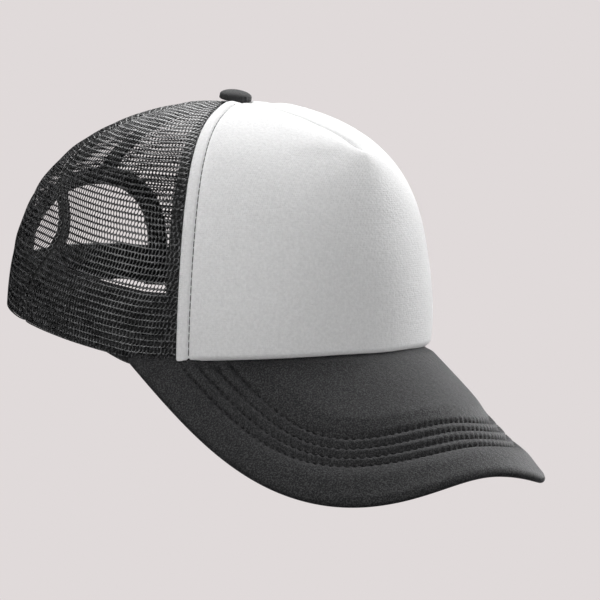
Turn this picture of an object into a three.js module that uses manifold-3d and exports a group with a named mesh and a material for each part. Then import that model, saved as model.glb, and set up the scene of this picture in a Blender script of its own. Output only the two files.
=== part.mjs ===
// A five-panel trucker cap: foam front, mesh sides and back, bent brim, and a snap strap.
//
// Millimetres. +Z is up, -Y is forwards (the brim), +X is the wearer's left. The origin is the
// middle of the head opening, in the plane of the lower edge at the back of the cap.
//
// The crown is one reference surface, crownPoint(angle, rise, depth). The angle goes round the
// head from 0 at the front, +180 at the back, positive on the wearer's left. The rise goes from
// 0 at the lower edge to 1 at the button, and the depth is measured inwards from the outside.
// Every fabric layer is a closed sheet between two depths of that surface.

import * as THREE from 'three';
import { mergeVertices } from 'three/addons/utils/BufferGeometryUtils.js';
import Module from 'manifold-3d';

const manifold = await Module();
manifold.setup();

const RIGHT = -1;
const LEFT = 1;
const SIDES = [['right', RIGHT], ['left', LEFT]];

// ---------------------------------------------------------------- driving dimensions

const GAP = 0.3; // air left between two pieces that touch

const HEM = { // plan of the head opening: two half superellipses
  halfWidth: 84.6,
  front: 101.8,
  back: 96.4,
  centreY: 9.7,
  frontPower: 1.86,
  backPower: 2.14,
};

const CROWN = {
  height: 104.4,
  apexY: 7.2,
  wallPower: { front: 3.7, side: 2.0, back: 1.54 }, // higher means a straighter wall
  topPower: { front: 2.92, side: 2.66, back: 2.58 }, // higher means a flatter top
  lean: { front: 0.071, side: 0.035, back: 0.01 }, // how far the wall leans in, of its radius
  meshBulge: 0.054,
  topRise: 0.9745, // the panels stop here, round the hole for the button's rivet
};

// The seams run together behind the crown's middle, so the top is drawn back to the button.
const BUTTON_SHIFT = { back: 7, down: 1.2, power: 4 };

// Slack net on the right side.
const DENT = { share: 0.06, angle: -109, degrees: 17, rise: 0.257, height: 0.119 };

const PANEL = { foam: 4.0, foamAtSeam: 1.6, seamFlat: 6.5, seamBlend: 7.5, mesh: 0.9 };

const DART = { depth: 1.6, halfWidth: 13, lowRise: 0.56, fade: 0.1, highRise: 0.93 };
const DART_TIP = { rise: 0.545, proud: 5, reach: 32, power: 1.6 }; // a soft peak at the dart's end

const SEAM = {
  front: { hem: 57, rise: 9.9, top: 16.9 }, // degrees round the head
  side: { hem: 110, rise: 22.2 },
  rightWave: { degrees: 10.9, rise: 0.257, width: 0.119 }, // it follows the dent on the right
};

const TAPE = { halfWidth: 6, thick: 0.7, frontDepth: 2.1, meshDepth: 1.6, topRise: 0.94 };
const HEM_TAPE = { height: 10, depth: 1.35 };
const SWEATBAND = { depth: 4.4, thick: 1.5, height: 27.5, belowBrim: 4, endAngle: 150 };

const ARCH = { halfWidth: 36, spring: 14, rise: 35, power: 2.2 };
const BINDING = { width: 8, thick: 0.7, outerGap: 0.3, innerDepth: 1.2 };

const BRIM = {
  bendRadius: 94.9,
  pitch: THREE.MathUtils.degToRad(24.95),
  joinHeight: 16.5, // above the lower edge at the back, where brim and front panel meet
  endAngle: 69.1, // degrees round the head, where each end of the brim meets the hem
  length: 68.2,
  outlinePower: 3.15,
  flare: 1.009,
  rootDepth: 4.1, // how far the brim reaches in under the crown
};
const BRIM_LAYERS = {
  lip: 3.2,
  topCover: 3.0,
  boardTop: 3.3,
  boardBottom: 4.9,
  liningTop: 5.2,
  total: 5.8,
};

const STRAP = {
  bottom: 2.2,
  top: 19.4,
  thick: 1.3,
  innerDepth: 2.2, // of the peg strap's outer face
  outerDepth: 0.6, // of the hole strap's outer face, where it lies over the peg strap
  hingeAt: 33.5, // along the strap from the middle of the back
  hingeGap: 1.2,
  tabEnd: 52,
  pegTip: 26.8,
  holeTip: 23.6,
  rampStart: 32,
  rampEnd: 26.5,
  pitch: 8.5,
  count: 6, // pegs, and holes
  firstPeg: -27.5, // along the strap; the first peg stands clear of the hole strap's tip
  firstHole: -19, // the last hole stays open, past the peg strap's tip
  pegRadius: 2.6,
  pegProud: 0.95,
  holeRadius: 3.1,
};

function strapPlaces(first) {
  return Array.from({ length: STRAP.count }, (_, index) => first + index * STRAP.pitch);
}

const BUTTON = { radius: 7, height: 4.6, bore: 1.6, boreDepth: 2.6 };
const RIVET = { radius: 1.3, flangeRadius: 6, flangeDepth: 3.0, flangeThick: 0.8, intoButton: 2.2 };

const COLOURS = {
  foam: 0xe9e8e6,
  blackFabric: 0x1d1d1e,
  brimFabric: 0x2b2b2c,
  net: 0x151516,
  plastic: 0x161617,
  board: 0xd8d8d4,
  metal: 0x9a9a9c,
};

// ---------------------------------------------------------------- the reference surfaces

const rad = THREE.MathUtils.degToRad;
const signedPower = (value, power) => Math.sign(value) * Math.abs(value) ** power;
const smooth = (value, low, high) => THREE.MathUtils.smoothstep(value, low, high);

function hemPlan(angle) {
  const sine = Math.sin(rad(angle));
  const cosine = Math.cos(rad(angle));
  const power = 2 / (cosine >= 0 ? HEM.frontPower : HEM.backPower);
  const reach = cosine >= 0 ? HEM.front : HEM.back;
  return [HEM.halfWidth * signedPower(sine, power), HEM.centreY - reach * signedPower(cosine, power)];
}

function mixRound(values, angle) {
  const cosine = Math.cos(rad(angle));
  const towards = Math.abs(cosine) ** 1.5;
  const end = cosine >= 0 ? values.front : values.back;
  return values.side + (end - values.side) * towards;
}

// The upper face of the brim: a cylinder along Y, pitched down towards the front.
function brimHeight(x, y) {
  const inside = Math.max(BRIM.bendRadius ** 2 - x * x, 1);
  const sag = (BRIM.bendRadius - Math.sqrt(inside)) / Math.cos(BRIM.pitch);
  return BRIM.joinHeight + (y + HEM.front - HEM.centreY) * Math.tan(BRIM.pitch) - sag;
}

const brimEndHeight = brimHeight(...hemPlan(BRIM.endAngle));

function hemHeight(angle) {
  const round = Math.abs(angle);
  if (round <= BRIM.endAngle) return brimHeight(...hemPlan(angle));
  const back = (round - BRIM.endAngle) / (180 - BRIM.endAngle);
  return brimEndHeight * (1 - back) ** 2 * (1 + 2 * back);
}

// The wall's outline at one angle is rho^wall + zeta^top = 1, with rho across and zeta up.
function wallOutline(angle, rise) {
  const wall = mixRound(CROWN.wallPower, angle);
  const top = mixRound(CROWN.topPower, angle);
  const across = Math.cos(rise * Math.PI / 2);
  const up = Math.sin(rise * Math.PI / 2);
  let low = 0.9;
  let high = 1.5;
  for (let step = 0; step < 36; step += 1) {
    const middle = (low + high) / 2;
    if ((middle * across) ** wall + (middle * up) ** top < 1) low = middle;
    else high = middle;
  }
  return { rho: low * across, zeta: low * up, top };
}

function dentShare(angle, rise) {
  const across = (angle - DENT.angle) / DENT.degrees;
  const up = (rise - DENT.rise) / DENT.height;
  return DENT.share * Math.exp(-(across ** 2) - up ** 2);
}

function crownSurface(angle, rise) {
  const [hemX, hemY] = hemPlan(angle);
  const { rho, zeta, top } = wallOutline(angle, rise);
  const climb = Math.asin(Math.min(1, zeta ** (top / 2)));
  const slack = THREE.MathUtils.clamp(0.5 - Math.cos(rad(angle)), 0, 1);
  const bulge = 1 + CROWN.meshBulge * Math.sin(2 * climb) * slack;
  const reach = rho * bulge * (1 - mixRound(CROWN.lean, angle) * zeta) * (1 - dentShare(angle, rise));
  const nearButton = Math.max(0, 1 - rho) ** BUTTON_SHIFT.power;
  return new THREE.Vector3(
    hemX * reach,
    CROWN.apexY + (hemY - CROWN.apexY) * reach + BUTTON_SHIFT.back * nearButton,
    hemHeight(angle) * (1 - zeta) + CROWN.height * zeta - BUTTON_SHIFT.down * nearButton,
  );
}

function crownPoint(angle, rise, depth) {
  const step = 1e-3;
  const middle = crownSurface(angle, rise);
  const round = crownSurface(angle + 90 * step, rise).sub(crownSurface(angle - 90 * step, rise));
  const lower = Math.max(rise - step, 0);
  const up = crownSurface(angle, rise + step).sub(crownSurface(angle, lower));
  const inwards = up.cross(round).normalize();
  return middle.addScaledVector(inwards, depth);
}

// Length round the crown per degree, for widths measured along the fabric.
function perDegree(angle, rise) {
  return crownSurface(angle + 0.5, rise).distanceTo(crownSurface(angle - 0.5, rise));
}

function riseAtHeight(angle, height) {
  const hem = hemHeight(angle);
  const zeta = THREE.MathUtils.clamp((height - hem) / (CROWN.height - hem), 0, 1);
  const wall = mixRound(CROWN.wallPower, angle);
  const top = mixRound(CROWN.topPower, angle);
  const rho = (1 - zeta ** top) ** (1 / wall);
  return Math.atan2(zeta, rho) / (Math.PI / 2);
}

// Fabric never reaches below this: it stands on the brim in front and ends at the hem behind.
function floorHeight(angle, x, y) {
  const hem = hemHeight(angle);
  const pastBrimEnd = 3;
  if (Math.abs(angle) > BRIM.endAngle + pastBrimEnd) return hem;
  return Math.max(hem, brimHeight(x, y) + GAP);
}

// The point on the back of the crown at a given x and z, found by halving the angle's range.
function backPoint(x, z, depth) {
  const side = x < 0 ? RIGHT : LEFT;
  let near = 180;
  let far = 100;
  for (let step = 0; step < 30; step += 1) {
    const middle = (near + far) / 2;
    const found = crownSurface(side * middle, riseAtHeight(side * middle, z));
    if (Math.abs(found.x) < Math.abs(x)) near = middle;
    else far = middle;
  }
  return crownPoint(side * near, riseAtHeight(side * near, z), depth);
}

function frontSeam(side, rise) {
  const { hem, rise: grow, top } = SEAM.front;
  return side * (hem + grow * rise + top * rise ** 3);
}

function sideSeam(side, rise) {
  const { degrees, rise: centre, width } = SEAM.rightWave;
  const wave = side === RIGHT ? degrees * Math.exp(-(((rise - centre) / width) ** 2)) : 0;
  return side * (SEAM.side.hem + SEAM.side.rise * rise - wave);
}

// ---------------------------------------------------------------- closed bodies from grids

const steps = (count) => Array.from({ length: count + 1 }, (_, index) => index / count);

function bodyFrom(positions, triangles) {
  const geometry = new THREE.BufferGeometry();
  const numbers = positions.flatMap((point) => point.toArray());
  geometry.setAttribute('position', new THREE.Float32BufferAttribute(numbers, 3));
  const [a, b, c] = [new THREE.Vector3(), new THREE.Vector3(), new THREE.Vector3()];
  let volume = 0;
  for (const [i, j, k] of triangles) {
    volume += a.copy(positions[i]).dot(b.copy(positions[j]).cross(c.copy(positions[k])));
  }
  const outwards = volume > 0 ? triangles : triangles.map(([i, j, k]) => [i, k, j]);
  geometry.setIndex(outwards.flat());
  geometry.computeVertexNormals();
  return geometry;
}

// A sheet with a thickness: two grids of points, joined round their four edges.
function sheetBody(outer, inner) {
  const rows = outer.length;
  const columns = outer[0].length;
  const at = (layer, row, column) => (layer * rows + row) * columns + column;
  const triangles = [];
  const quad = (a, b, c, d) => triangles.push([a, b, c], [a, c, d]);
  for (let row = 0; row + 1 < rows; row += 1) {
    for (let column = 0; column + 1 < columns; column += 1) {
      quad(at(0, row, column), at(0, row, column + 1), at(0, row + 1, column + 1), at(0, row + 1, column));
      quad(at(1, row, column), at(1, row + 1, column), at(1, row + 1, column + 1), at(1, row, column + 1));
    }
    quad(at(0, row, 0), at(0, row + 1, 0), at(1, row + 1, 0), at(1, row, 0));
    const last = columns - 1;
    quad(at(0, row, last), at(1, row, last), at(1, row + 1, last), at(0, row + 1, last));
  }
  for (let column = 0; column + 1 < columns; column += 1) {
    quad(at(0, 0, column), at(1, 0, column), at(1, 0, column + 1), at(0, 0, column + 1));
    const last = rows - 1;
    quad(at(0, last, column), at(0, last, column + 1), at(1, last, column + 1), at(1, last, column));
  }
  return bodyFrom([...outer.flat(), ...inner.flat()], triangles);
}

// A body swept through matching outlines. The flat outline says how to close its two ends.
function loftBody(sections, flatOutline) {
  const count = flatOutline.length;
  const triangles = [];
  for (let section = 0; section + 1 < sections.length; section += 1) {
    for (let point = 0; point < count; point += 1) {
      const next = (point + 1) % count;
      const [a, b] = [section * count + point, section * count + next];
      triangles.push([a, b, b + count], [a, b + count, a + count]);
    }
  }
  const clockwise = THREE.ShapeUtils.area(flatOutline) < 0;
  const lastStart = (sections.length - 1) * count;
  for (const [i, j, k] of THREE.ShapeUtils.triangulateShape(flatOutline, [])) {
    triangles.push(clockwise ? [i, j, k] : [i, k, j]);
    triangles.push(clockwise ? [lastStart + i, lastStart + k, lastStart + j]
      : [lastStart + i, lastStart + j, lastStart + k]);
  }
  return bodyFrom(sections.flat(), clockwise ? triangles.map(([i, j, k]) => [i, k, j]) : triangles);
}

function toSolid(geometry) {
  const bare = geometry.clone();
  bare.deleteAttribute('normal');
  bare.deleteAttribute('uv');
  const merged = mergeVertices(bare, 1e-4);
  return new manifold.Manifold(new manifold.Mesh({
    numProp: 3,
    vertProperties: new Float32Array(merged.attributes.position.array),
    triVerts: new Uint32Array(merged.index.array),
  }));
}

function fromSolid(solid) {
  const mesh = solid.getMesh();
  const geometry = new THREE.BufferGeometry();
  geometry.setAttribute('position', new THREE.BufferAttribute(new Float32Array(mesh.vertProperties), 3));
  geometry.setIndex(new THREE.BufferAttribute(new Uint32Array(mesh.triVerts), 1));
  geometry.computeVertexNormals();
  return geometry;
}

// ---------------------------------------------------------------- crown panels and tapes

// A piece of crown fabric between two edges, each an angle that depends on the rise.
function crownSheet({ from, to, columns, rows, lowRise = 0, highRise = CROWN.topRise, outer, inner }) {
  const grid = (depth) => steps(rows).map((up) => {
    const rise = lowRise + (highRise - lowRise) * up;
    return steps(columns).map((across) => {
      const angle = THREE.MathUtils.lerp(from(rise), to(rise), across);
      const point = crownPoint(angle, rise, depth(angle, rise));
      if (lowRise === 0 && up === 0) point.z = floorHeight(angle, point.x, point.y);
      return point;
    });
  });
  return sheetBody(grid(outer), grid(inner));
}

const beside = (seam, millimetres) => (rise) => seam(rise) + millimetres / perDegree(seam(rise), rise);

// The dart pulls the front panel in along its middle, from the button to the front's shoulder,
// where it ends in the peak.
const dartTip = crownSurface(0, DART_TIP.rise);

function dartDepth(angle, rise) {
  const away = Math.abs(angle) * perDegree(0, rise);
  const along = smooth(rise, DART.lowRise, DART.lowRise + DART.fade)
    * (1 - smooth(rise, DART.highRise - DART.fade, DART.highRise));
  const valley = DART.depth * along * Math.max(0, 1 - away / DART.halfWidth) ** 1.5;
  const fromTip = crownSurface(angle, rise).distanceTo(dartTip);
  return valley - DART_TIP.proud * Math.max(0, 1 - fromTip / DART_TIP.reach) ** DART_TIP.power;
}

function foamThickness(angle, rise) {
  const side = angle < 0 ? RIGHT : LEFT;
  const fromSeam = Math.abs(frontSeam(side, rise) - angle) * perDegree(angle, rise);
  const full = smooth(fromSeam, PANEL.seamFlat, PANEL.seamFlat + PANEL.seamBlend);
  return PANEL.foamAtSeam + (PANEL.foam - PANEL.foamAtSeam) * full;
}

function frontPanel() {
  return crownSheet({
    from: beside((rise) => frontSeam(RIGHT, rise), GAP / 2),
    to: beside((rise) => frontSeam(LEFT, rise), -GAP / 2),
    columns: 26,
    rows: 18,
    outer: dartDepth,
    inner: (angle, rise) => dartDepth(angle, rise) + foamThickness(angle, rise),
  });
}

function sidePanel(side) {
  return crownSheet({
    from: beside((rise) => frontSeam(side, rise), side * GAP / 2),
    to: beside((rise) => sideSeam(side, rise), -side * GAP / 2),
    columns: 8,
    rows: 18,
    outer: () => 0,
    inner: () => PANEL.mesh,
  });
}

function rearPanel(side) {
  const whole = crownSheet({
    from: beside((rise) => sideSeam(side, rise), side * GAP / 2),
    to: beside(() => side * 180, -side * GAP / 2),
    columns: 12,
    rows: 18,
    outer: () => 0,
    inner: () => PANEL.mesh,
  });
  return fromSolid(toSolid(whole).subtract(toSolid(archCutter())));
}

function seamTape(seam, depth, room, lowRise = 0) {
  const half = (rise) => Math.min(TAPE.halfWidth / perDegree(seam(rise), rise), room);
  return crownSheet({
    from: (rise) => seam(rise) - half(rise),
    to: (rise) => seam(rise) + half(rise),
    columns: 2,
    rows: 18,
    lowRise,
    highRise: TAPE.topRise,
    outer: () => depth,
    inner: () => depth + TAPE.thick,
  });
}

// A band round the inside, from a lower edge that follows the hem to a height above the hem.
function innerBand({ fromAngle, toAngle, columns, rows, depth, thick, height, lowerEdge }) {
  const grid = (layer) => steps(rows).map((up) => steps(columns).map((across) => {
    const angle = THREE.MathUtils.lerp(fromAngle, toAngle, across);
    const rise = riseAtHeight(angle, hemHeight(angle) + height * up);
    const point = crownPoint(angle, rise, layer);
    if (up === 0) point.z = lowerEdge(angle, point.x, point.y);
    return point;
  }));
  return sheetBody(grid(depth), grid(depth + thick));
}

// Over the brim the sweatband hangs below the hem, to cover the brim's root.
function sweatband() {
  const brimRoot = (angle) => 1 - smooth(Math.abs(angle), BRIM.endAngle, BRIM.endAngle + 15);
  return innerBand({
    fromAngle: -SWEATBAND.endAngle,
    toAngle: SWEATBAND.endAngle,
    columns: 52,
    rows: 2,
    depth: SWEATBAND.depth,
    thick: SWEATBAND.thick,
    height: SWEATBAND.height,
    lowerEdge: (angle) => hemHeight(angle) + GAP - SWEATBAND.belowBrim * brimRoot(angle),
  });
}

function hemTape(side) {
  const clearOfFrontTape = TAPE.halfWidth + 2 * GAP;
  return innerBand({
    fromAngle: beside(() => frontSeam(side, 0), side * clearOfFrontTape)(0),
    toAngle: side * (SWEATBAND.endAngle - 1),
    columns: 18,
    rows: 1,
    depth: HEM_TAPE.depth,
    thick: TAPE.thick,
    height: HEM_TAPE.height,
    lowerEdge: floorHeight,
  });
}

// ---------------------------------------------------------------- rear opening

// The opening's edge, seen from behind, with its outward direction in the XZ plane.
function archEdge(along) {
  const legShare = 0.14;
  if (along < legShare || along > 1 - legShare) {
    const side = along < legShare ? RIGHT : LEFT;
    const up = Math.min(along, 1 - along) / legShare;
    return { x: side * ARCH.halfWidth, z: ARCH.spring * up, nx: side, nz: 0 };
  }
  const turn = Math.PI * (1 - (along - legShare) / (1 - 2 * legShare));
  const [cosine, sine] = [Math.cos(turn), Math.sin(turn)];
  const x = ARCH.halfWidth * signedPower(cosine, 2 / ARCH.power);
  const up = ARCH.rise * Math.abs(sine) ** (2 / ARCH.power);
  const slopeX = signedPower(x / ARCH.halfWidth, ARCH.power - 1) / ARCH.halfWidth;
  const slopeZ = (up / ARCH.rise) ** (ARCH.power - 1) / ARCH.rise;
  const size = Math.hypot(slopeX, slopeZ);
  return { x, z: ARCH.spring + up, nx: slopeX / size, nz: slopeZ / size };
}

function archCutter() {
  const clear = BINDING.thick + GAP;
  const [front, back, below] = [50, 130, -10];
  const outline = steps(44).map((along) => {
    const { x, z, nx, nz } = archEdge(along);
    return new THREE.Vector2(x + clear * nx, z + clear * nz);
  });
  const shape = new THREE.Shape([
    new THREE.Vector2(-ARCH.halfWidth - clear, below),
    ...outline,
    new THREE.Vector2(ARCH.halfWidth + clear, below),
  ]);
  const cutter = new THREE.ExtrudeGeometry(shape, { depth: back - front, bevelEnabled: false });
  cutter.rotateX(Math.PI / 2);
  cutter.translate(0, back, 0);
  return cutter;
}

// A folded tape that grips the mesh round the opening: a leg outside, a leg inside.
function openingBinding() {
  const { width, thick, outerGap, innerDepth } = BINDING;
  const outline = [
    [0, outerGap + thick],
    [width / 2, outerGap + thick],
    [width, outerGap + thick],
    [width, outerGap],
    [width / 2, outerGap],
    [thick, outerGap],
    [thick, -innerDepth],
    [width / 2, -innerDepth],
    [width, -innerDepth],
    [width, -innerDepth - thick],
    [width / 2, -innerDepth - thick],
    [0, -innerDepth - thick],
  ].map(([across, proud]) => new THREE.Vector2(across, proud));
  const sections = steps(36).map((along) => {
    const { x, z, nx, nz } = archEdge(along);
    return outline.map((point) => backPoint(x + point.x * nx, z + point.x * nz, -point.y));
  });
  return loftBody(sections, outline);
}

// ---------------------------------------------------------------- brim

function evenPoints(curve, count) {
  const fine = steps(400).map(curve);
  const lengths = [0];
  for (let index = 1; index < fine.length; index += 1) {
    lengths.push(lengths[index - 1] + fine[index].distanceTo(fine[index - 1]));
  }
  return steps(count).map((share) => {
    const wanted = share * lengths.at(-1);
    const index = Math.max(1, lengths.findIndex((length) => length >= wanted));
    const between = (wanted - lengths[index - 1]) / (lengths[index] - lengths[index - 1]);
    return fine[index - 1].clone().lerp(fine[index], between);
  });
}

function brimInnerEdge(share) {
  const angle = THREE.MathUtils.lerp(-BRIM.endAngle, BRIM.endAngle, share);
  const point = crownPoint(angle, 0, BRIM.rootDepth);
  return new THREE.Vector2(point.x, point.y);
}

function brimOuterEdge(share) {
  const turn = Math.PI * (share - 0.5);
  const [endX, endY] = hemPlan(BRIM.endAngle);
  const reach = HEM.front - HEM.centreY + BRIM.length + endY;
  const x = endX * BRIM.flare * signedPower(Math.sin(turn), 2 / BRIM.outlinePower);
  const y = endY - reach * Math.abs(Math.cos(turn)) ** (2 / BRIM.outlinePower);
  return new THREE.Vector2(x, y);
}

// Straight down where the brim meets the crown, and square to the brim's face at its outer edge.
function brimPoint(x, y, depth, outwards) {
  const step = 0.01;
  const slopeX = (brimHeight(x + step, y) - brimHeight(x - step, y)) / (2 * step);
  const slopeY = Math.tan(BRIM.pitch);
  const size = Math.hypot(slopeX, slopeY, 1);
  const square = new THREE.Vector3(slopeX / size, slopeY / size, -1 / size);
  const direction = new THREE.Vector3(0, 0, -size).lerp(square, outwards);
  return new THREE.Vector3(x, y, brimHeight(x, y)).addScaledVector(direction, depth);
}

const BRIM_SECTIONS = 32;
const COVERED_ENDS = 2;
const brimInner = evenPoints(brimInnerEdge, BRIM_SECTIONS);
const brimOuter = evenPoints(brimOuterEdge, BRIM_SECTIONS);

// One layer of the brim. Its edge points are an inset from the outer edge and a depth. From
// there its two faces run to the crown in rows that all the layers share. The covered layers
// stop a few sections short of the brim's two ends.
function brimLayer(edge, top, bottom, endSections = 0) {
  const shares = [0.25, 0.5, 0.75, 1];
  const outline = [
    ...shares.slice().reverse().map((share) => ({ share, inset: 0, depth: top })),
    ...edge.map(([inset, depth]) => ({ share: 0, inset, depth })),
    ...shares.map((share) => ({ share, inset: 0, depth: bottom })),
  ];
  const flat = outline.map(({ share, inset, depth }) => new THREE.Vector2(inset + 100 * share, depth));
  const inside = (_, index) => index >= endSections && index <= BRIM_SECTIONS - endSections;
  const sections = brimInner.filter(inside).map((inner, index) => {
    const outer = brimOuter[index + endSections];
    const width = outer.distanceTo(inner);
    const edgeRoom = width - 0.5;
    const lip = Math.min(BRIM_LAYERS.lip, edgeRoom);
    return outline.map(({ share, inset, depth }) => {
      const away = share > 0 ? lip + (width - lip) * share : Math.min(inset, edgeRoom);
      const plan = outer.clone().lerp(inner, away / width);
      return brimPoint(plan.x, plan.y, depth, 1 - away / width);
    });
  });
  return loftBody(sections, flat);
}

function brimTopCover() {
  const { lip, topCover, total } = BRIM_LAYERS;
  const roundedEdge = [[2.4, 0.2], [0.8, 1.0], [0, 2.6], [0.3, 4.3], [1.4, total - 0.3]];
  return brimLayer([...roundedEdge, [lip, total], [lip, topCover]], 0, topCover);
}

function brimBoard() {
  const { lip, boardTop, boardBottom } = BRIM_LAYERS;
  const edge = lip + GAP;
  return brimLayer([[edge, boardTop], [edge, boardBottom]], boardTop, boardBottom, COVERED_ENDS);
}

function brimLining() {
  const { lip, liningTop, total } = BRIM_LAYERS;
  const edge = lip + GAP;
  return brimLayer([[edge, liningTop], [edge, total]], liningTop, total, COVERED_ENDS);
}

// ---------------------------------------------------------------- snap strap

// A place along the back of the hem: its angle for a distance from the middle.
function angleAlongBack(distance) {
  const side = distance < 0 ? RIGHT : LEFT;
  let near = 180;
  let far = 120;
  for (let step = 0; step < 30; step += 1) {
    const middle = (near + far) / 2;
    if (lengthFromBack(middle) < Math.abs(distance)) near = middle;
    else far = middle;
  }
  return side * near;
}

function lengthFromBack(angle) {
  const angles = steps(24).map((share) => THREE.MathUtils.lerp(180, angle, share));
  const places = angles.map((place) => new THREE.Vector2(...hemPlan(place)));
  return places.reduce((sum, place, index) => (index ? sum + place.distanceTo(places[index - 1]) : 0), 0);
}

function strapPoint(distance, depth, z) {
  const point = crownPoint(angleAlongBack(distance), 0, depth);
  return new THREE.Vector3(point.x, point.y, z);
}

function strapBand(from, to, roundTip, outerFace, count) {
  const middle = (STRAP.top + STRAP.bottom) / 2;
  const half = (STRAP.top - STRAP.bottom) / 2;
  const towards = Math.sign(to - from);
  const sections = steps(count).map((share) => {
    const finePart = roundTip ? 1 - (1 - share) ** 1.6 : share;
    const distance = THREE.MathUtils.lerp(from, to, finePart);
    const intoTip = roundTip ? Math.max(0, half - towards * (to - distance)) : 0;
    const reach = Math.max(1, Math.sqrt(Math.max(0, half * half - intoTip * intoTip)));
    const face = outerFace(distance);
    return [
      strapPoint(distance, face, middle + reach),
      strapPoint(distance, face, middle - reach),
      strapPoint(distance, face + STRAP.thick, middle - reach),
      strapPoint(distance, face + STRAP.thick, middle + reach),
    ];
  });
  const outline = [[0, 1], [0, -1], [1, -1], [1, 1]].map(([x, y]) => new THREE.Vector2(x, y));
  return loftBody(sections, outline);
}

// A round bar square to the strap, from one depth to another.
function strapStud(distance, radius, outerDepth, innerDepth) {
  const middle = (STRAP.top + STRAP.bottom) / 2;
  const outer = strapPoint(distance, outerDepth, middle);
  const inner = strapPoint(distance, innerDepth, middle);
  const stud = new THREE.CylinderGeometry(radius, radius, outer.distanceTo(inner), 16);
  const along = outer.clone().sub(inner).normalize();
  stud.applyQuaternion(new THREE.Quaternion().setFromUnitVectors(new THREE.Vector3(0, 1, 0), along));
  const centre = outer.lerp(inner, 0.5);
  return stud.translate(centre.x, centre.y, centre.z);
}

const strapStart = STRAP.hingeAt - STRAP.hingeGap / 2;
const innerFace = () => STRAP.innerDepth;

function holeStrapFace(distance) {
  const lift = 1 - smooth(distance, STRAP.rampEnd, STRAP.rampStart);
  return STRAP.innerDepth + (STRAP.outerDepth - STRAP.innerDepth) * lift;
}

function pegStrap() {
  let solid = toSolid(strapBand(-strapStart, STRAP.pegTip, true, innerFace, 22));
  const intoStrap = 0.4;
  for (const place of strapPlaces(STRAP.firstPeg)) {
    const peg = strapStud(place, STRAP.pegRadius, STRAP.outerDepth - STRAP.pegProud,
      STRAP.innerDepth + intoStrap);
    solid = solid.add(toSolid(peg));
  }
  return fromSolid(solid);
}

function holeStrap() {
  let solid = toSolid(strapBand(strapStart, -STRAP.holeTip, true, holeStrapFace, 26));
  const beyond = 2;
  for (const place of strapPlaces(STRAP.firstHole)) {
    const face = holeStrapFace(place);
    const hole = strapStud(place, STRAP.holeRadius, face - beyond, face + STRAP.thick + beyond);
    solid = solid.subtract(toSolid(hole));
  }
  return fromSolid(solid);
}

function strapTab(side) {
  const start = STRAP.hingeAt + STRAP.hingeGap / 2;
  return strapBand(side * start, side * STRAP.tabEnd, false, innerFace, 5);
}

// ---------------------------------------------------------------- button

function buttonTop() {
  const { radius, height, bore, boreDepth } = BUTTON;
  const edge = 0.5;
  const shoulder = 2.0;
  const dome = steps(6).map((share) => {
    const turn = share * Math.PI / 2;
    return new THREE.Vector2(radius * Math.cos(turn), shoulder + (height - shoulder) * Math.sin(turn));
  });
  dome[dome.length - 1].x = 0;
  const profile = [
    new THREE.Vector2(0, boreDepth),
    new THREE.Vector2(bore, boreDepth),
    new THREE.Vector2(bore, 0),
    new THREE.Vector2(radius - edge, 0),
    new THREE.Vector2(radius, edge),
    ...dome,
  ];
  return uprightLathe(profile, GAP);
}

function buttonRivet() {
  const { radius, flangeRadius, flangeDepth, flangeThick, intoButton } = RIVET;
  const top = GAP + intoButton;
  const profile = [
    new THREE.Vector2(0, -flangeDepth - flangeThick),
    new THREE.Vector2(flangeRadius, -flangeDepth - flangeThick),
    new THREE.Vector2(flangeRadius, -flangeDepth),
    new THREE.Vector2(radius, -flangeDepth),
    new THREE.Vector2(radius, top),
    new THREE.Vector2(0, top),
  ];
  return uprightLathe(profile, 0);
}

function uprightLathe(profile, aboveCrown) {
  const top = crownSurface(0, 1);
  const lathe = new THREE.LatheGeometry(profile, 20);
  lathe.rotateX(Math.PI / 2);
  lathe.translate(top.x, top.y, top.z + aboveCrown);
  return lathe;
}

// ---------------------------------------------------------------- the assembly

function material(color, roughness, metalness = 0) {
  return new THREE.MeshStandardMaterial({ color, roughness, metalness });
}

const FOAM = material(COLOURS.foam, 0.9);
const NET = material(COLOURS.net, 0.75);
const FABRIC = material(COLOURS.blackFabric, 0.85);
const BRIM_FABRIC = material(COLOURS.brimFabric, 0.85);
const BOARD = material(COLOURS.board, 0.5);
const PLASTIC = material(COLOURS.plastic, 0.4);
const METAL = material(COLOURS.metal, 0.35, 1);

const group = new THREE.Group();

function addPiece(name, geometry, finish) {
  const mesh = new THREE.Mesh(geometry, finish);
  mesh.name = name;
  group.add(mesh);
}

addPiece('front_panel', frontPanel(), FOAM);
for (const [word, side] of SIDES) {
  addPiece(`side_panel_${word}`, sidePanel(side), NET);
  addPiece(`rear_panel_${word}`, rearPanel(side), NET);
}

const seamRoom = 18; // degrees that a tape may reach on each side of its seam
const aboveHemTape = 0.075;
const aboveArch = riseAtHeight(180, ARCH.spring + ARCH.rise + BINDING.width + 1);
for (const [word, side] of SIDES) {
  const front = (rise) => frontSeam(side, rise);
  const rear = (rise) => sideSeam(side, rise);
  addPiece(`front_seam_tape_${word}`, seamTape(front, TAPE.frontDepth, seamRoom), FABRIC);
  addPiece(`side_seam_tape_${word}`, seamTape(rear, TAPE.meshDepth, seamRoom, aboveHemTape), FABRIC);
  addPiece(`hem_tape_${word}`, hemTape(side), FABRIC);
}
addPiece('back_seam_tape', seamTape(() => 180, TAPE.meshDepth, seamRoom, aboveArch), FABRIC);
addPiece('opening_binding', openingBinding(), FABRIC);
addPiece('sweatband', sweatband(), FABRIC);

addPiece('brim_top_cover', brimTopCover(), BRIM_FABRIC);
addPiece('brim_board', brimBoard(), BOARD);
addPiece('brim_bottom_cover', brimLining(), BRIM_FABRIC);

addPiece('button_top', buttonTop(), FABRIC);
addPiece('button_rivet', buttonRivet(), METAL);

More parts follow.
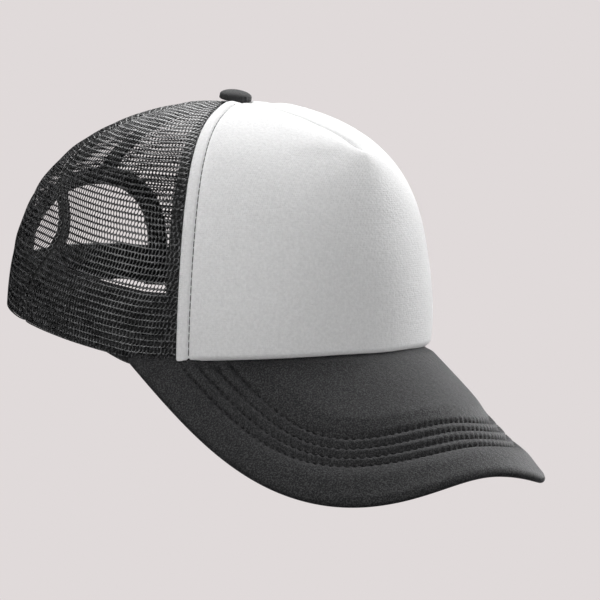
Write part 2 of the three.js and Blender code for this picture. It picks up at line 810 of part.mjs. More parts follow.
for (const [word, side] of SIDES) addPiece(`strap_tab_${word}`, strapTab(side), PLASTIC);
addPiece('peg_strap', pegStrap(), PLASTIC);
addPiece('hole_strap', holeStrap(), PLASTIC);

export default group;
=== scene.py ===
import math
from functools import partial

import bmesh
import bpy
import numpy as np
from mathutils import Matrix, Vector
from mathutils.geometry import tessellate_polygon


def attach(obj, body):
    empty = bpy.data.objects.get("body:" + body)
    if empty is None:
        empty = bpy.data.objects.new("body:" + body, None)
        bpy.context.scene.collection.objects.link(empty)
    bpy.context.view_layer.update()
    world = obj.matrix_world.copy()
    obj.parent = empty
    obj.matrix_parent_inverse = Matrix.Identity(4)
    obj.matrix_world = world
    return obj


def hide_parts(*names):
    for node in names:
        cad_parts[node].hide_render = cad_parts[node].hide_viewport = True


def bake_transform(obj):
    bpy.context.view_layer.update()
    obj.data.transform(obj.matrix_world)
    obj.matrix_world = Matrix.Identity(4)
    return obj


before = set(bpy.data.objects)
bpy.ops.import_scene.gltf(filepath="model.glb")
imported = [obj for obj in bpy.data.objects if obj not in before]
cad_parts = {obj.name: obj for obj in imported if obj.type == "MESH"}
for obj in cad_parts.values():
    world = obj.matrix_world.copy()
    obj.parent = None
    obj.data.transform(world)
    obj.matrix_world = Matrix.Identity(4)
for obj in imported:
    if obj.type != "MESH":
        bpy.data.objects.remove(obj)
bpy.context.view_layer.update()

# A five-panel trucker cap: foam front, net sides and back, bent brim, and a snap strap.
#
# Metres and degrees. +Z is up, -Y is forwards (the brim), +X is the wearer's left. The crown is
# one surface over an angle round the head (0 in front, 180 behind) and a rise (0 at the hem, 1 at
# the button). A depth is measured inwards from that surface.

RIGHT, LEFT = -1, 1
SIDES = (("right", RIGHT), ("left", LEFT))

# ---------------------------------------------------------------- dimensions shared with the CAD

GAP = 0.0003
HEM = {"half_width": 0.0846, "front": 0.1018, "back": 0.0964, "centre_y": 0.0097,
       "front_power": 1.86, "back_power": 2.14}
CROWN = {"height": 0.1044, "apex_y": 0.0072, "mesh_bulge": 0.054, "top_rise": 0.9745}
WALL_POWER = (3.7, 2.0, 1.54)  # in front, at the side, behind
TOP_POWER = (2.92, 2.66, 2.58)
LEAN = (0.071, 0.035, 0.01)
BUTTON_SHIFT = {"back": 0.007, "down": 0.0012, "power": 4}
DENT = {"share": 0.06, "angle": -109, "degrees": 17, "rise": 0.257, "height": 0.119}
FRONT_SEAM = {"hem": 57, "rise": 9.9, "top": 16.9}
SIDE_SEAM = {"hem": 110, "rise": 22.2, "wave": 10.9}
FOAM = {"thick": 0.004, "at_seam": 0.0016, "flat": 0.0065, "blend": 0.0075}
TAPE = {"half_width": 0.006, "thick": 0.0007, "front_depth": 0.0021, "depth": 0.0016, "top_rise": 0.94}
HEM_TAPE = {"height": 0.010, "depth": 0.00135}
SWEATBAND = {"depth": 0.0044, "thick": 0.0015, "height": 0.0275, "below_brim": 0.004, "end_angle": 150}
ARCH = {"half_width": 0.036, "spring": 0.014, "rise": 0.035, "power": 2.2, "leg_share": 0.14}
BINDING = {"width": 0.008, "thick": 0.0007, "outer_gap": 0.0003, "inner_depth": 0.0012}
BRIM = {"bend_radius": 0.0949, "pitch": math.radians(24.95), "join_height": 0.0165, "end_angle": 69.1,
        "length": 0.0682, "outline_power": 3.15, "flare": 1.009, "root_depth": 0.0041,
        "lip": 0.0032, "top_cover": 0.003, "lining_top": 0.0052, "total": 0.0058, "rim_total": 0.0049}
STRAP = {"bottom": 0.0022, "top": 0.0194, "thick": 0.0013, "inner_depth": 0.0022, "outer_depth": 0.0006,
         "hinge_at": 0.0335, "tab_end": 0.052, "peg_tip": 0.0268, "hole_tip": 0.0236,
         "ramp_start": 0.032, "ramp_end": 0.0265, "pitch": 0.0085, "count": 6,
         "first_peg": -0.0275, "first_hole": -0.019, "peg_radius": 0.0026, "peg_proud": 0.00095,
         "hole_radius": 0.0031}


# ---------------------------------------------------------------- the crown's surface

PROBE = 0.001  # how much deeper the second place lies that shows which way is inwards
MIXING_POWER = 1.5  # how quickly the side's shape gives way to the one in front or behind
PAST_BRIM_END = 3  # degrees over which the fabric still stands on the brim
OUTLINE_SEARCH = {"low": 0.9, "high": 1.5, "halvings": 28}
BACK_SEARCH = {"near": 180, "far": 100, "halvings": 24}


def signed_power(value, power):
    return np.sign(value) * np.abs(value) ** power


def smooth(value, low, high):
    share = np.clip((value - low) / (high - low), 0, 1)
    return share * share * (3 - 2 * share)


def bump(value, centre, width):
    return np.exp(-((value - centre) / width) ** 2)


def length_of(vectors):
    return np.linalg.norm(vectors, axis=-1)


def unit(vectors):
    return vectors / np.maximum(length_of(vectors), 1e-12)[..., None]


def path_lengths(path):
    """How far along a path each of its places lies."""
    return np.concatenate([[0], np.cumsum(length_of(np.diff(path, axis=0)))])


def hem_plan(angle):
    sine, cosine = np.sin(np.radians(angle)), np.cos(np.radians(angle))
    power = 2 / np.where(cosine >= 0, HEM["front_power"], HEM["back_power"])
    reach = np.where(cosine >= 0, HEM["front"], HEM["back"])
    x = HEM["half_width"] * signed_power(sine, power)
    return x, HEM["centre_y"] - reach * signed_power(cosine, power)


def mix_round(values, angle):
    cosine = np.cos(np.radians(angle))
    front, side, back = values
    return side + (np.where(cosine >= 0, front, back) - side) * np.abs(cosine) ** MIXING_POWER


def brim_height(x, y):
    """The upper face of the brim: a cylinder along Y, pitched down towards the front."""
    radius, pitch = BRIM["bend_radius"], BRIM["pitch"]
    sag = (radius - np.sqrt(np.maximum(radius ** 2 - x * x, 1e-6))) / math.cos(pitch)
    return BRIM["join_height"] + (y + HEM["front"] - HEM["centre_y"]) * math.tan(pitch) - sag


def hem_height(angle):
    around = np.abs(angle)
    end = BRIM["end_angle"]
    back = np.clip((around - end) / (180 - end), 0, 1)
    behind = brim_height(*hem_plan(end)) * (1 - back) ** 2 * (1 + 2 * back)
    return np.where(around <= end, brim_height(*hem_plan(angle)), behind)


def wall_outline(angle, rise):
    """The wall's outline at one angle is rho^wall + zeta^top = 1, with rho across and zeta up."""
    wall, top = mix_round(WALL_POWER, angle), mix_round(TOP_POWER, angle)
    across, up = np.cos(rise * math.pi / 2), np.sin(rise * math.pi / 2)
    low, high = (np.full(across.shape, OUTLINE_SEARCH[end]) for end in ("low", "high"))
    for _ in range(OUTLINE_SEARCH["halvings"]):
        middle = (low + high) / 2
        inside = (middle * across) ** wall + (middle * up) ** top < 1
        low, high = np.where(inside, middle, low), np.where(inside, high, middle)
    return low * across, low * up, top


def dent_share(angle, rise):
    shape = bump(angle, DENT["angle"], DENT["degrees"]) * bump(rise, DENT["rise"], DENT["height"])
    return DENT["share"] * shape


def crown_surface(angle, rise):
    angle, rise = np.broadcast_arrays(np.asarray(angle, float), np.asarray(rise, float))
    hem_x, hem_y = hem_plan(angle)
    rho, zeta, top = wall_outline(angle, rise)
    climb = np.arcsin(np.minimum(1, zeta ** (top / 2)))
    slack = np.clip(0.5 - np.cos(np.radians(angle)), 0, 1)
    reach = rho * (1 + CROWN["mesh_bulge"] * np.sin(2 * climb) * slack)
    reach = reach * (1 - mix_round(LEAN, angle) * zeta) * (1 - dent_share(angle, rise))
    near_button = np.maximum(0, 1 - rho) ** BUTTON_SHIFT["power"]
    y = CROWN["apex_y"] + (hem_y - CROWN["apex_y"]) * reach + BUTTON_SHIFT["back"] * near_button
    z = hem_height(angle) * (1 - zeta) + CROWN["height"] * zeta - BUTTON_SHIFT["down"] * near_button
    return np.stack([hem_x * reach, y, z], -1)


def crown_frame(angle, rise):
    """Places on the crown's outside, and the directions square to it, inwards."""
    step = 1e-3
    angle, rise = np.broadcast_arrays(np.asarray(angle, float), np.asarray(rise, float))
    along = crown_surface(angle + 90 * step, rise) - crown_surface(angle - 90 * step, rise)
    up = crown_surface(angle, rise + step) - crown_surface(angle, np.maximum(rise - step, 0))
    return crown_surface(angle, rise), unit(np.cross(up, along))


def crown_point(angle, rise, depth):
    places, inwards = crown_frame(angle, rise)
    return places + inwards * np.broadcast_to(depth, places.shape[:-1])[..., None]


def per_degree(angle, rise):
    return length_of(crown_surface(angle + 0.5, rise) - crown_surface(angle - 0.5, rise))


def rise_at_height(angle, height):
    hem = hem_height(angle)
    zeta = np.clip((height - hem) / (CROWN["height"] - hem), 0, 1)
    rho = (1 - zeta ** mix_round(TOP_POWER, angle)) ** (1 / mix_round(WALL_POWER, angle))
    return np.arctan2(zeta, rho) / (math.pi / 2)


def floor_height(angle, x, y):
    """Fabric stands on the brim in front and ends at the hem behind."""
    hem = hem_height(angle)
    on_brim = np.maximum(hem, brim_height(x, y) + GAP)
    return np.where(np.abs(angle) > BRIM["end_angle"] + PAST_BRIM_END, hem, on_brim)


def front_seam(side, rise):
    return side * (FRONT_SEAM["hem"] + FRONT_SEAM["rise"] * rise + FRONT_SEAM["top"] * rise ** 3)


def side_seam(side, rise):
    wave = SIDE_SEAM["wave"] * bump(rise, DENT["rise"], DENT["height"]) if side == RIGHT else 0
    return side * (SIDE_SEAM["hem"] + SIDE_SEAM["rise"] * rise - wave)


def back_seam(side, rise):
    return side * 180 + 0 * rise


def beside(seam, distance):
    """The line that runs beside a seam, a distance round from it."""
    return lambda rise: seam(rise) + distance / per_degree(seam(rise), rise)


def back_point(x, z, depth):
    """The point on the back of the crown at a given x and z, found by halving the angle's range."""
    side = np.where(x < 0, RIGHT, LEFT)
    near, far = (np.full(np.shape(x), float(BACK_SEARCH[end])) for end in ("near", "far"))
    for _ in range(BACK_SEARCH["halvings"]):
        middle = (near + far) / 2
        found = crown_surface(side * middle, rise_at_height(side * middle, z))
        inside = np.abs(found[..., 0]) < np.abs(x)
        near, far = np.where(inside, middle, near), np.where(inside, far, middle)
    return crown_point(side * near, rise_at_height(side * near, z), depth)


# ---------------------------------------------------------------- meshes from grids of points

def is_inside_out(points, faces):
    """Whether the faces of a closed mesh look inwards, from the sign of its volume."""
    volume = 0
    for part in faces:
        for k in range(1, part.shape[1] - 1):
            outwards = np.cross(points[part[:, k]], points[part[:, k + 1]])
            volume += float((points[part[:, 0]] * outwards).sum())
    return volume < 0


def add_mesh(name, points, faces, material, cloth=None):
    """A smooth closed mesh from points and arrays of faces, each array with its own corner count.
    cloth gives each point its place on the flat fabric, in metres, for the weave."""
    points = np.asarray(points, float).reshape(-1, 3)
    if is_inside_out(points, faces):
        faces = [part[:, ::-1] for part in faces]
    corners = np.concatenate([part.ravel() for part in faces])
    sizes = np.concatenate([np.full(len(part), part.shape[1]) for part in faces])
    mesh = bpy.data.meshes.new(name)
    mesh.vertices.add(len(points))
    mesh.vertices.foreach_set("co", points.astype(np.float32).ravel())
    mesh.loops.add(len(corners))
    mesh.loops.foreach_set("vertex_index", corners.astype(np.int32))
    mesh.polygons.add(len(sizes))
    mesh.polygons.foreach_set("loop_start", (np.cumsum(sizes) - sizes).astype(np.int32))
    mesh.polygons.foreach_set("use_smooth", np.ones(len(sizes), bool))
    mesh.update(calc_edges=True)
    if cloth is not None:
        flat = np.zeros((len(points), 3), np.float32)
        flat[:, :2] = np.asarray(cloth).reshape(-1, 2)
        mesh.attributes.new("cloth", "FLOAT_VECTOR", "POINT").data.foreach_set("vector", flat.ravel())
    mesh.materials.append(material)
    piece = bpy.data.objects.new(name, mesh)
    bpy.context.scene.collection.objects.link(piece)
    return piece


def finish_piece(piece, body, slot, *nodes):
    """Joins a piece to its body, in place of the CAD nodes it stands for. The slot is not used."""
    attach(piece, body)
    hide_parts(*nodes)


def grid_quads(rows, columns, start=0):
    index = start + np.arange(rows * columns).reshape(rows, columns)
    return np.stack([index[:-1, :-1], index[:-1, 1:], index[1:, 1:], index[1:, :-1]], -1).reshape(-1, 4)


def sheet_faces(rows, columns):
    """The faces of two grids of points, joined round their four edges."""
    outer = grid_quads(rows, columns)
    inner = grid_quads(rows, columns, rows * columns)[:, ::-1]
    index = np.arange(rows * columns).reshape(rows, columns)
    rim = np.concatenate([index[0, :-1], index[:-1, -1], index[-1, :0:-1], index[:0:-1, 0]])
    follow = np.roll(rim, -1)
    return [outer, inner, np.stack([rim, rim + rows * columns, follow + rows * columns, follow], -1)]


def flat_places(grid):
    """Distances across and up a grid of points, from its middle column and its first row."""
    across = np.zeros(grid.shape[:2])
    across[:, 1:] = np.cumsum(length_of(np.diff(grid, axis=1)), axis=1)
    up = np.zeros(grid.shape[:2])
    up[1:] = np.cumsum(length_of(np.diff(grid, axis=0)), axis=0)
    return np.stack([across - across[:, across.shape[1] // 2, None], up], -1)


def add_sheet(name, outer, inner, material):
    rows, columns = outer.shape[:2]
    cloth = flat_places(outer)
    points = np.concatenate([outer.reshape(-1, 3), inner.reshape(-1, 3)])
    return add_mesh(name, points, sheet_faces(rows, columns), material, np.stack([cloth, cloth]))


def loft_faces(sections, count):
    """The faces between rings of points, with each end closed by one face."""
    ring = np.arange(sections * count).reshape(sections, count)
    follow = np.roll(ring, -1, axis=1)
    walls = np.stack([ring[:-1], follow[:-1], follow[1:], ring[1:]], -1).reshape(-1, 4)
    return [walls, ring[:1, ::-1], ring[-1:]]


def add_loft(name, sections, material, cloth=None):
    sections = np.asarray(sections)
    return add_mesh(name, sections, loft_faces(*sections.shape[:2]), material, cloth)


def join(name, parts):
    bpy.ops.object.select_all(action="DESELECT")
    for part in parts:
        part.select_set(True)
    bpy.context.view_layer.objects.active = parts[0]
    bpy.ops.object.join()
    parts[0].name = name
    parts[0].data.name = name
    return parts[0]


def uneven_steps(count, crowding):
    """Shares from 0 to 1 that lie closer together where crowding(share) is larger."""
    fine = np.linspace(0, 1, 2001)
    weight = np.concatenate([[0], np.cumsum(crowding((fine[1:] + fine[:-1]) / 2))])
    return np.interp(np.linspace(0, 1, count + 1), weight / weight[-1], fine)


def crown_grid(start, end, across, rises, depth):
    """A grid of points on the crown between two lines, with a depth for each angle and rise."""
    rise = np.broadcast_to(rises[:, None], (len(rises), len(across)))
    first, last = start(rises), end(rises)
    angle = first[:, None] + (last - first)[:, None] * across[None, :]
    points = crown_point(angle, rise, depth(angle, rise))
    if rises[0] == 0:
        x, y = points[0, :, 0], points[0, :, 1]
        points[0, :, 2] = floor_height(angle[0], x, y)
    return points


# ---------------------------------------------------------------- stitches

STITCH = {
    "length": 0.0026, "pitch": 0.0032, "radius": 0.0002, "sides": 6,
    "shares": (-0.5, -0.38, -0.15, 0.15, 0.38, 0.5),  # along a stitch, from its middle
    "swell": (0.45, 0.85, 1.0, 1.0, 0.85, 0.45), "dip": (-1.3, -0.1, 0.35, 0.35, -0.1, -1.3),
}


def along_path(path, lengths, distance):
    return np.stack([np.interp(distance, lengths, path[:, k]) for k in range(path.shape[1])], -1)


def stitch_row(path, outwards, length=STITCH["length"], radius=STITCH["radius"]):
    """Points and faces of a row of stitches: short threads that dip into the cloth at each end."""
    shares, swell, dip = (np.array(STITCH[key]) for key in ("shares", "swell", "dip"))
    turns = np.arange(STITCH["sides"]) * 2 * math.pi / STITCH["sides"]
    step = 1e-4
    lengths = path_lengths(path)
    centres = np.arange(STITCH["pitch"] / 2, lengths[-1], STITCH["pitch"])
    distance = np.clip(centres[:, None] + shares * length, 0, lengths[-1])
    normal = unit(along_path(outwards, lengths, distance))
    ahead = unit(along_path(path, lengths, distance + step) - along_path(path, lengths, distance - step))
    aside = unit(np.cross(ahead, normal))
    middle = along_path(path, lengths, distance) + normal * (dip * radius)[None, :, None]
    ring = np.cos(turns)[:, None] * aside[..., None, :] + np.sin(turns)[:, None] * normal[..., None, :]
    points = middle[..., None, :] + ring * (swell * radius)[None, :, None, None]
    starts = np.arange(len(centres))[:, None, None] * len(shares) * len(turns)
    faces = [(part + starts).reshape(-1, part.shape[1]) for part in loft_faces(len(shares), len(turns))]
    return points.reshape(-1, 3), faces


def add_stitching(name, rows, material="thread", **sizes):
    """One piece from several rows of stitches, each a path and its outward directions."""
    points, faces, start = [], [], 0
    for path, outwards in rows:
        row_points, row_faces = stitch_row(path, outwards, **sizes)
        points.append(row_points)
        faces += [part + start for part in row_faces]
        start += len(row_points)
    return add_mesh(name, np.concatenate(points), faces, MATERIALS[material])


def crown_stitches(line, rises, depth):
    """A row of stitches up the crown: its path at a depth, and the outward directions."""
    angle = line(rises)
    places, inwards = crown_frame(angle, rises)
    return places + inwards * np.broadcast_to(depth, rises.shape)[:, None], -inwards


# ---------------------------------------------------------------- materials

class Shading:
    """A material with a Principled shader, whose nodes are added one at a time."""

    def __init__(self, name, roughness, **sockets):
        self.material = bpy.data.materials.new(name)
        self.material.use_nodes = True
        self.tree = self.material.node_tree
        self.shader = self.tree.nodes["Principled BSDF"]
        self.set(self.shader, {"Roughness": roughness})
        self.set(self.shader, {key.replace("_", " "): value for key, value in sockets.items()})
        self.height = None

    def set(self, node, inputs):
        for key, value in inputs.items():
            if isinstance(value, bpy.types.NodeSocket):
                self.tree.links.new(value, node.inputs[key])
            else:
                node.inputs[key].default_value = value

    def add(self, kind, inputs=None, output=0, **settings):
        node = self.tree.nodes.new("ShaderNode" + kind)
        for key, value in settings.items():
            setattr(node, key, value)
        self.set(node, inputs or {})
        return node.outputs[output]

    def math(self, operation, first, second=0.0):
        return self.add("Math", {0: first, 1: second}, operation=operation)

    def noise(self, scale, detail=2.0, roughness=0.5):
        place = self.add("TexCoord", output="Object")
        inputs = {"Scale": scale, "Detail": detail, "Roughness": roughness, "Vector": place}
        return self.add("TexNoise", inputs)

    def ribs(self, across, pitch, distortion=0.0):
        """Waves with a ridge every pitch, across X, Y or the diagonal of the cloth."""
        cloth = self.add("Attribute", output="Vector", attribute_name="cloth")
        settings = {"wave_type": "BANDS", "bands_direction": across, "wave_profile": "SIN"}
        inputs = {"Scale": math.pi / (10 * pitch), "Distortion": distortion, "Detail": 1.0, "Vector": cloth}
        return self.add("TexWave", inputs, output="Fac", **settings)

    def raise_by(self, height, distance):
        """Adds to the relief: height from 0 to 1, distance in metres."""
        scaled = self.math("MULTIPLY", height, distance)
        self.height = scaled if self.height is None else self.math("ADD", self.height, scaled)

    def grain(self, scale, detail, distance):
        self.raise_by(self.noise(scale, detail), distance)

    def range(self, value, low, high, to_low, to_high):
        names = {"Value": value, "From Min": low, "From Max": high, "To Min": to_low, "To Max": to_high}
        return self.add("MapRange", names)

    def colours(self, factor, low, high):
        """Mixes two colours by a factor from 0 to 1."""
        mixed = self.add("Mix", {0: factor, 6: (*low, 1), 7: (*high, 1)}, output=2, data_type="RGBA")
        self.set(self.shader, {"Base Color": (*low, 1)})
        self.set(self.shader, {"Base Color": mixed})

    def finish(self):
        if self.height is not None:
            relief = self.add("Bump", {"Height": self.height, "Strength": 1.0, "Distance": 1.0})
            self.set(self.shader, {"Normal": relief})
        return self.material


def white_knit():
    """Polyester knit on foam: fine upright wales, a soft nap, and faint unevenness."""
    shade = Shading("white_knit", 0.85, Sheen_Weight=0.12, Sheen_Roughness=0.5)
    wales = shade.ribs("X", 0.00075, distortion=0.6)
    courses = shade.ribs("Y", 0.0009, distortion=0.6)
    shade.raise_by(wales, 0.00005)
    shade.raise_by(courses, 0.00003)
    shade.grain(900, 3, 0.00034)
    shade.grain(140, 2, 0.00018)
    mottle = shade.range(shade.noise(800, 3, 0.7), 0.35, 0.65, 0, 1)
    shade.colours(mottle, (0.78, 0.777, 0.78), (0.87, 0.867, 0.87))
    return shade.finish()


def black_knit():
    """Brushed black knit on foam: a fine grain with pale specks of nap."""
    shade = Shading("black_knit", 0.62, Sheen_Weight=0.09, Sheen_Roughness=0.4)
    shade.set(shade.shader, {"Sheen Tint": (0.9, 0.9, 0.95, 1), "Specular IOR Level": 0.28})
    shade.raise_by(shade.noise(1500, 2, 0.7), 0.00022)
    shade.grain(420, 2, 0.00025)
    shade.grain(90, 2, 0.00012)
    specks = shade.range(shade.noise(1700, 2, 0.7), 0.45, 0.63, 0, 1)
    shade.colours(specks, (0.004, 0.004, 0.005), (0.050, 0.050, 0.051))
    return shade.finish()


def net_yarn():
    """Shiny polyester yarn: the filaments show as a fine, lengthways grain. The base colour carries painted
    glints: bright spots of painted highlight scattered at random.
    """
    shade = Shading("net_yarn", 0.26, Specular_IOR_Level=0.6)
    shade.grain(2600, 2, 0.00006)
    # Painted highlight: noise lightens the yarn's colour in random spots, so the threads glint without a
    # lamp making them glint.
    painted_glints = shade.range(shade.noise(900, 2), 0.44, 0.64, 0, 1)
    shade.colours(painted_glints, (0.004, 0.004, 0.0045), (0.10, 0.10, 0.103))
    return shade.finish()


def woven_tape(name, pitch, low, high, roughness=0.7):
    """Plain or twill woven tape, with threads a pitch apart."""
    shade = Shading(name, roughness, Sheen_Weight=0.1)
    warp = shade.ribs("X", pitch)
    weft = shade.ribs("Y", pitch)
    shade.raise_by(shade.math("MAXIMUM", warp, weft), 0.00012)
    shade.grain(800, 2, 0.00008)
    shade.colours(shade.math("MULTIPLY", warp, weft), low, high)
    return shade.finish()


def twill():
    """Cotton twill, for the sweatband: fine slanting ribs and a dry surface."""
    shade = Shading("sweatband_twill", 0.85, Sheen_Weight=0.2)
    ribs = shade.ribs("DIAGONAL", 0.0009, distortion=0.3)
    shade.raise_by(ribs, 0.00012)
    shade.grain(1200, 2, 0.0001)
    shade.colours(ribs, (0.004, 0.004, 0.0045), (0.011, 0.011, 0.012))
    return shade.finish()


def moulded_plastic():
    shade = Shading("strap_plastic", 0.38, Specular_IOR_Level=0.5)
    shade.grain(1800, 2, 0.00002)
    scuffs = shade.range(shade.noise(35, 4, 0.6), 0.45, 0.65, 0, 1)
    shade.colours(scuffs, (0.012, 0.012, 0.013), (0.020, 0.020, 0.021))
    shade.set(shade.shader, {"Roughness": shade.range(scuffs, 0, 1, 0.32, 0.48)})
    return shade.finish()


def board_plastic():
    shade = Shading("board_plastic", 0.5)
    shade.grain(500, 2, 0.00004)
    shade.colours(shade.noise(40, 3), (0.62, 0.62, 0.59), (0.70, 0.70, 0.67))
    return shade.finish()


def rivet_metal():
    shade = Shading("rivet_steel", 0.33, Metallic=1.0)
    shade.grain(900, 3, 0.00003)
    shade.colours(shade.noise(220, 3), (0.46, 0.46, 0.47), (0.62, 0.62, 0.63))
    return shade.finish()


def thread(name, low, high):
    shade = Shading(name, 0.5, Sheen_Weight=0.1)
    shade.grain(3500, 2, 0.00005)
    shade.colours(shade.noise(1500, 2), low, high)
    return shade.finish()


MATERIALS = {
    "foam": white_knit(),
    "brim": black_knit(),
    "net": net_yarn(),
    "tape": woven_tape("woven_tape", 0.0006, (0.003, 0.003, 0.0035), (0.009, 0.009, 0.010)),
    "sweatband": twill(),
    "button": woven_tape("button_fabric", 0.0004, (0.011, 0.011, 0.012), (0.03, 0.03, 0.032), 0.75),
    "strap": moulded_plastic(),
    "board": board_plastic(),
    "rivet": rivet_metal(),
    "thread": thread("black_thread", (0.005, 0.005, 0.006), (0.014, 0.014, 0.015)),
    "front_thread": thread("front_thread", (0.02, 0.02, 0.021), (0.05, 0.05, 0.052)),
}


# ---------------------------------------------------------------- foam front

FRONT = {
    "edge_roll": 0.0014, "edge_width": 0.0022,  # the fold at the seam
    "low_roll": 0.0018, "low_width": 0.0030, "low_power": 2.2,  # the edge that rounds in over the brim
    "stitch_at": 0.0056, "groove": 0.0008, "groove_width": 0.0006,
    "dip": 0.0006, "dip_width": 0.0026,  # the soft hollow that the stitches pull in
    "puff": 0.0012, "puff_width": 0.007, "below_button": (0.86, 0.95),
    "flare": 0.0026, "flare_angle": (36, 20), "flare_rise": (0.08, 0.16),
    "uneven": 0.00035, "waves": (90, 75),
}
FRONT_MESH = {"across": 220, "up": 165}
# How much closer the mesh's points lie at a place, the share where that is, and how far it reaches.
FRONT_CROWDING = {"edges": (3.5, 0.02, 0.035), "dart": (1.5, 0.5, 0.05), "brim": (3, 0, 0.03)}
FRONT_STITCH = {"length": 0.0034, "rises": (0.012, 0.9), "proud": 0.00005}
DART = {"valley": 0.0013, "valley_width": 0.0085, "crease": 0.0012, "crease_width": 0.0010,
        "lobe": 0.0008, "lobe_at": 0.017, "lobe_width": 0.013, "low": (0.53, 0.58), "top": (0.95, 0.985)}
DART_TIP = {"rise": 0.535, "proud": 0.005, "reach": 0.032, "power": 1.6}
THINNEST_FOAM = 0.0004


def foam_depth(angle, rise):
    """How far the knit face lies inside the plain crown: seams, dart, peak and padding."""
    places = crown_surface(angle, rise)
    width = per_degree(angle, rise)
    from_seam = (front_seam(LEFT, rise) - np.abs(angle)) * width
    above = places[..., 2] - hem_height(angle)
    stitch_at = FRONT["stitch_at"]
    below_button = 1 - smooth(rise, *FRONT["below_button"])
    edge = FRONT["edge_roll"] * np.clip(1 - from_seam / FRONT["edge_width"], 0, 1) ** 2
    low = FRONT["low_roll"] * np.clip(1 - above / FRONT["low_width"], 0, 1) ** FRONT["low_power"]
    low = low * smooth(from_seam, 0, stitch_at * 2)
    groove = FRONT["groove"] * bump(from_seam, stitch_at, FRONT["groove_width"])
    groove = (groove + FRONT["dip"] * bump(from_seam, stitch_at, FRONT["dip_width"])) * below_button
    padding = smooth(from_seam, stitch_at, stitch_at + FRONT["puff_width"])
    puff = FRONT["puff"] * padding * below_button
    flare = FRONT["flare"] * bump(np.abs(angle), *FRONT["flare_angle"]) * bump(rise, *FRONT["flare_rise"])
    wave_x, wave_z = FRONT["waves"]
    waves = np.sin(places[..., 0] * wave_x + 1) * np.sin(places[..., 2] * wave_z + 2)
    folds = np.maximum(edge, low) + groove - puff - flare + FRONT["uneven"] * waves * padding
    return folds + dart_depth(angle, rise, width, places)


def dart_depth(angle, rise, width, places):
    away = np.abs(angle) * width
    along = smooth(rise, *DART["low"]) * (1 - smooth(rise, *DART["top"]))
    valley = DART["valley"] * np.maximum(0, 1 - away / DART["valley_width"]) ** 1.5 * along
    crease = DART["crease"] * bump(away, 0, DART["crease_width"]) * along
    lobes = DART["lobe"] * bump(away, DART["lobe_at"], DART["lobe_width"]) * along
    return valley + crease - lobes - peak_height(places)


def peak_height(places):
    """The dart's lower end stands out as a soft peak."""
    from_tip = length_of(places - crown_surface(0, DART_TIP["rise"]))
    return DART_TIP["proud"] * np.maximum(0, 1 - from_tip / DART_TIP["reach"]) ** DART_TIP["power"]


def foam_thickness(angle, rise):
    from_seam = (front_seam(LEFT, rise) - np.abs(angle)) * per_degree(angle, rise)
    full = smooth(from_seam, FOAM["flat"], FOAM["flat"] + FOAM["blend"])
    return FOAM["at_seam"] + (FOAM["thick"] - FOAM["at_seam"]) * full


def lining_depth(angle, rise):
    """The foam's inner face follows the peak, but not the fine creases."""
    peak = peak_height(crown_surface(angle, rise))
    return np.maximum(foam_thickness(angle, rise) - peak, foam_depth(angle, rise) + THINNEST_FOAM)


def crowded(place, share):
    more, at, width = FRONT_CROWDING[place]
    return more * bump(share, at, width)


def front_panel():
    def crowd_across(share):
        return 1 + crowded("edges", np.minimum(share, 1 - share)) + crowded("dart", share)

    def crowd_up(share):
        return 1 + crowded("brim", share)

    across = uneven_steps(FRONT_MESH["across"], crowd_across)
    rises = uneven_steps(FRONT_MESH["up"], crowd_up) * CROWN["top_rise"]
    start = beside(partial(front_seam, RIGHT), GAP / 2)
    end = beside(partial(front_seam, LEFT), -GAP / 2)
    outer = crown_grid(start, end, across, rises, foam_depth)
    inner = crown_grid(start, end, across, rises, lining_depth)
    piece = add_sheet("foam_front", outer, inner, MATERIALS["foam"])
    finish_piece(piece, "crown", "foam_front", "front_panel")


def front_stitching():
    rises = np.linspace(*FRONT_STITCH["rises"], 300)
    rows = []
    for _, side in SIDES:
        line = beside(partial(front_seam, side), -side * FRONT["stitch_at"])
        depth = foam_depth(line(rises), rises) - FRONT_STITCH["proud"]
        rows.append(crown_stitches(line, rises, depth))
    piece = add_stitching("front_topstitch", rows, "front_thread", length=FRONT_STITCH["length"])
    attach(piece, "crown")


# ---------------------------------------------------------------- net

NET = {"hole_pitch": 0.00165, "row_pitch": 0.00275, "hole_width": 0.00122, "hole_height": 0.00206,
       "squareness": 2.6, "leans": (0.00085, 0.00015), "thread": 0.00019, "seam_thread": 0.000228,
       "roundness": 0.82, "depth": 0.00045, "valley": 0.0009, "valley_width": 0.0024, "turned_in": 0.0010,
       "seam_room": 0.25,  # of a hole's pitch
       "ripple": 0.0003, "ripple_room": 0.01, "ripple_waves": (230, 120, 150)}
NET_LATTICE = {"rows": 90, "columns": 41}
UNDER_BINDING = 0.0022  # how far outside the opening's edge the middles of the last holes lie


def net_lattice(start, end):
    """The panel laid flat between two lines: its height, its left and right edges at a height, and
    a way from places across and up it to angles and rises on the crown."""
    rises = np.linspace(0, CROWN["top_rise"], NET_LATTICE["rows"])
    shares = np.linspace(0, 1, NET_LATTICE["columns"])
    angles = start(rises)[:, None] + (end(rises) - start(rises))[:, None] * shares
    grid = crown_surface(angles, np.broadcast_to(rises[:, None], angles.shape))
    flat = flat_places(grid)
    across, up = flat[..., 0], flat[:, NET_LATTICE["columns"] // 2, 1]

    def limits(height):
        return np.interp(height, up, across[:, 0]), np.interp(height, up, across[:, -1])

    def convert(width, height):
        row = np.interp(height, up, np.arange(len(up)))
        below = np.minimum(row.astype(int), len(up) - 2)
        part = (row - below)[:, None]
        here = across[below] * (1 - part) + across[below + 1] * part
        column = np.clip((here <= width[:, None]).sum(1) - 1, 0, len(shares) - 2)
        pick = np.arange(len(width))
        low, high = here[pick, column], here[pick, column + 1]
        share = (column + np.clip((width - low) / (high - low), 0, 1)) / (len(shares) - 1)
        rise = np.interp(height, up, rises)
        return start(rise) + (end(rise) - start(rise)) * share, rise

    return up[-1], limits, convert


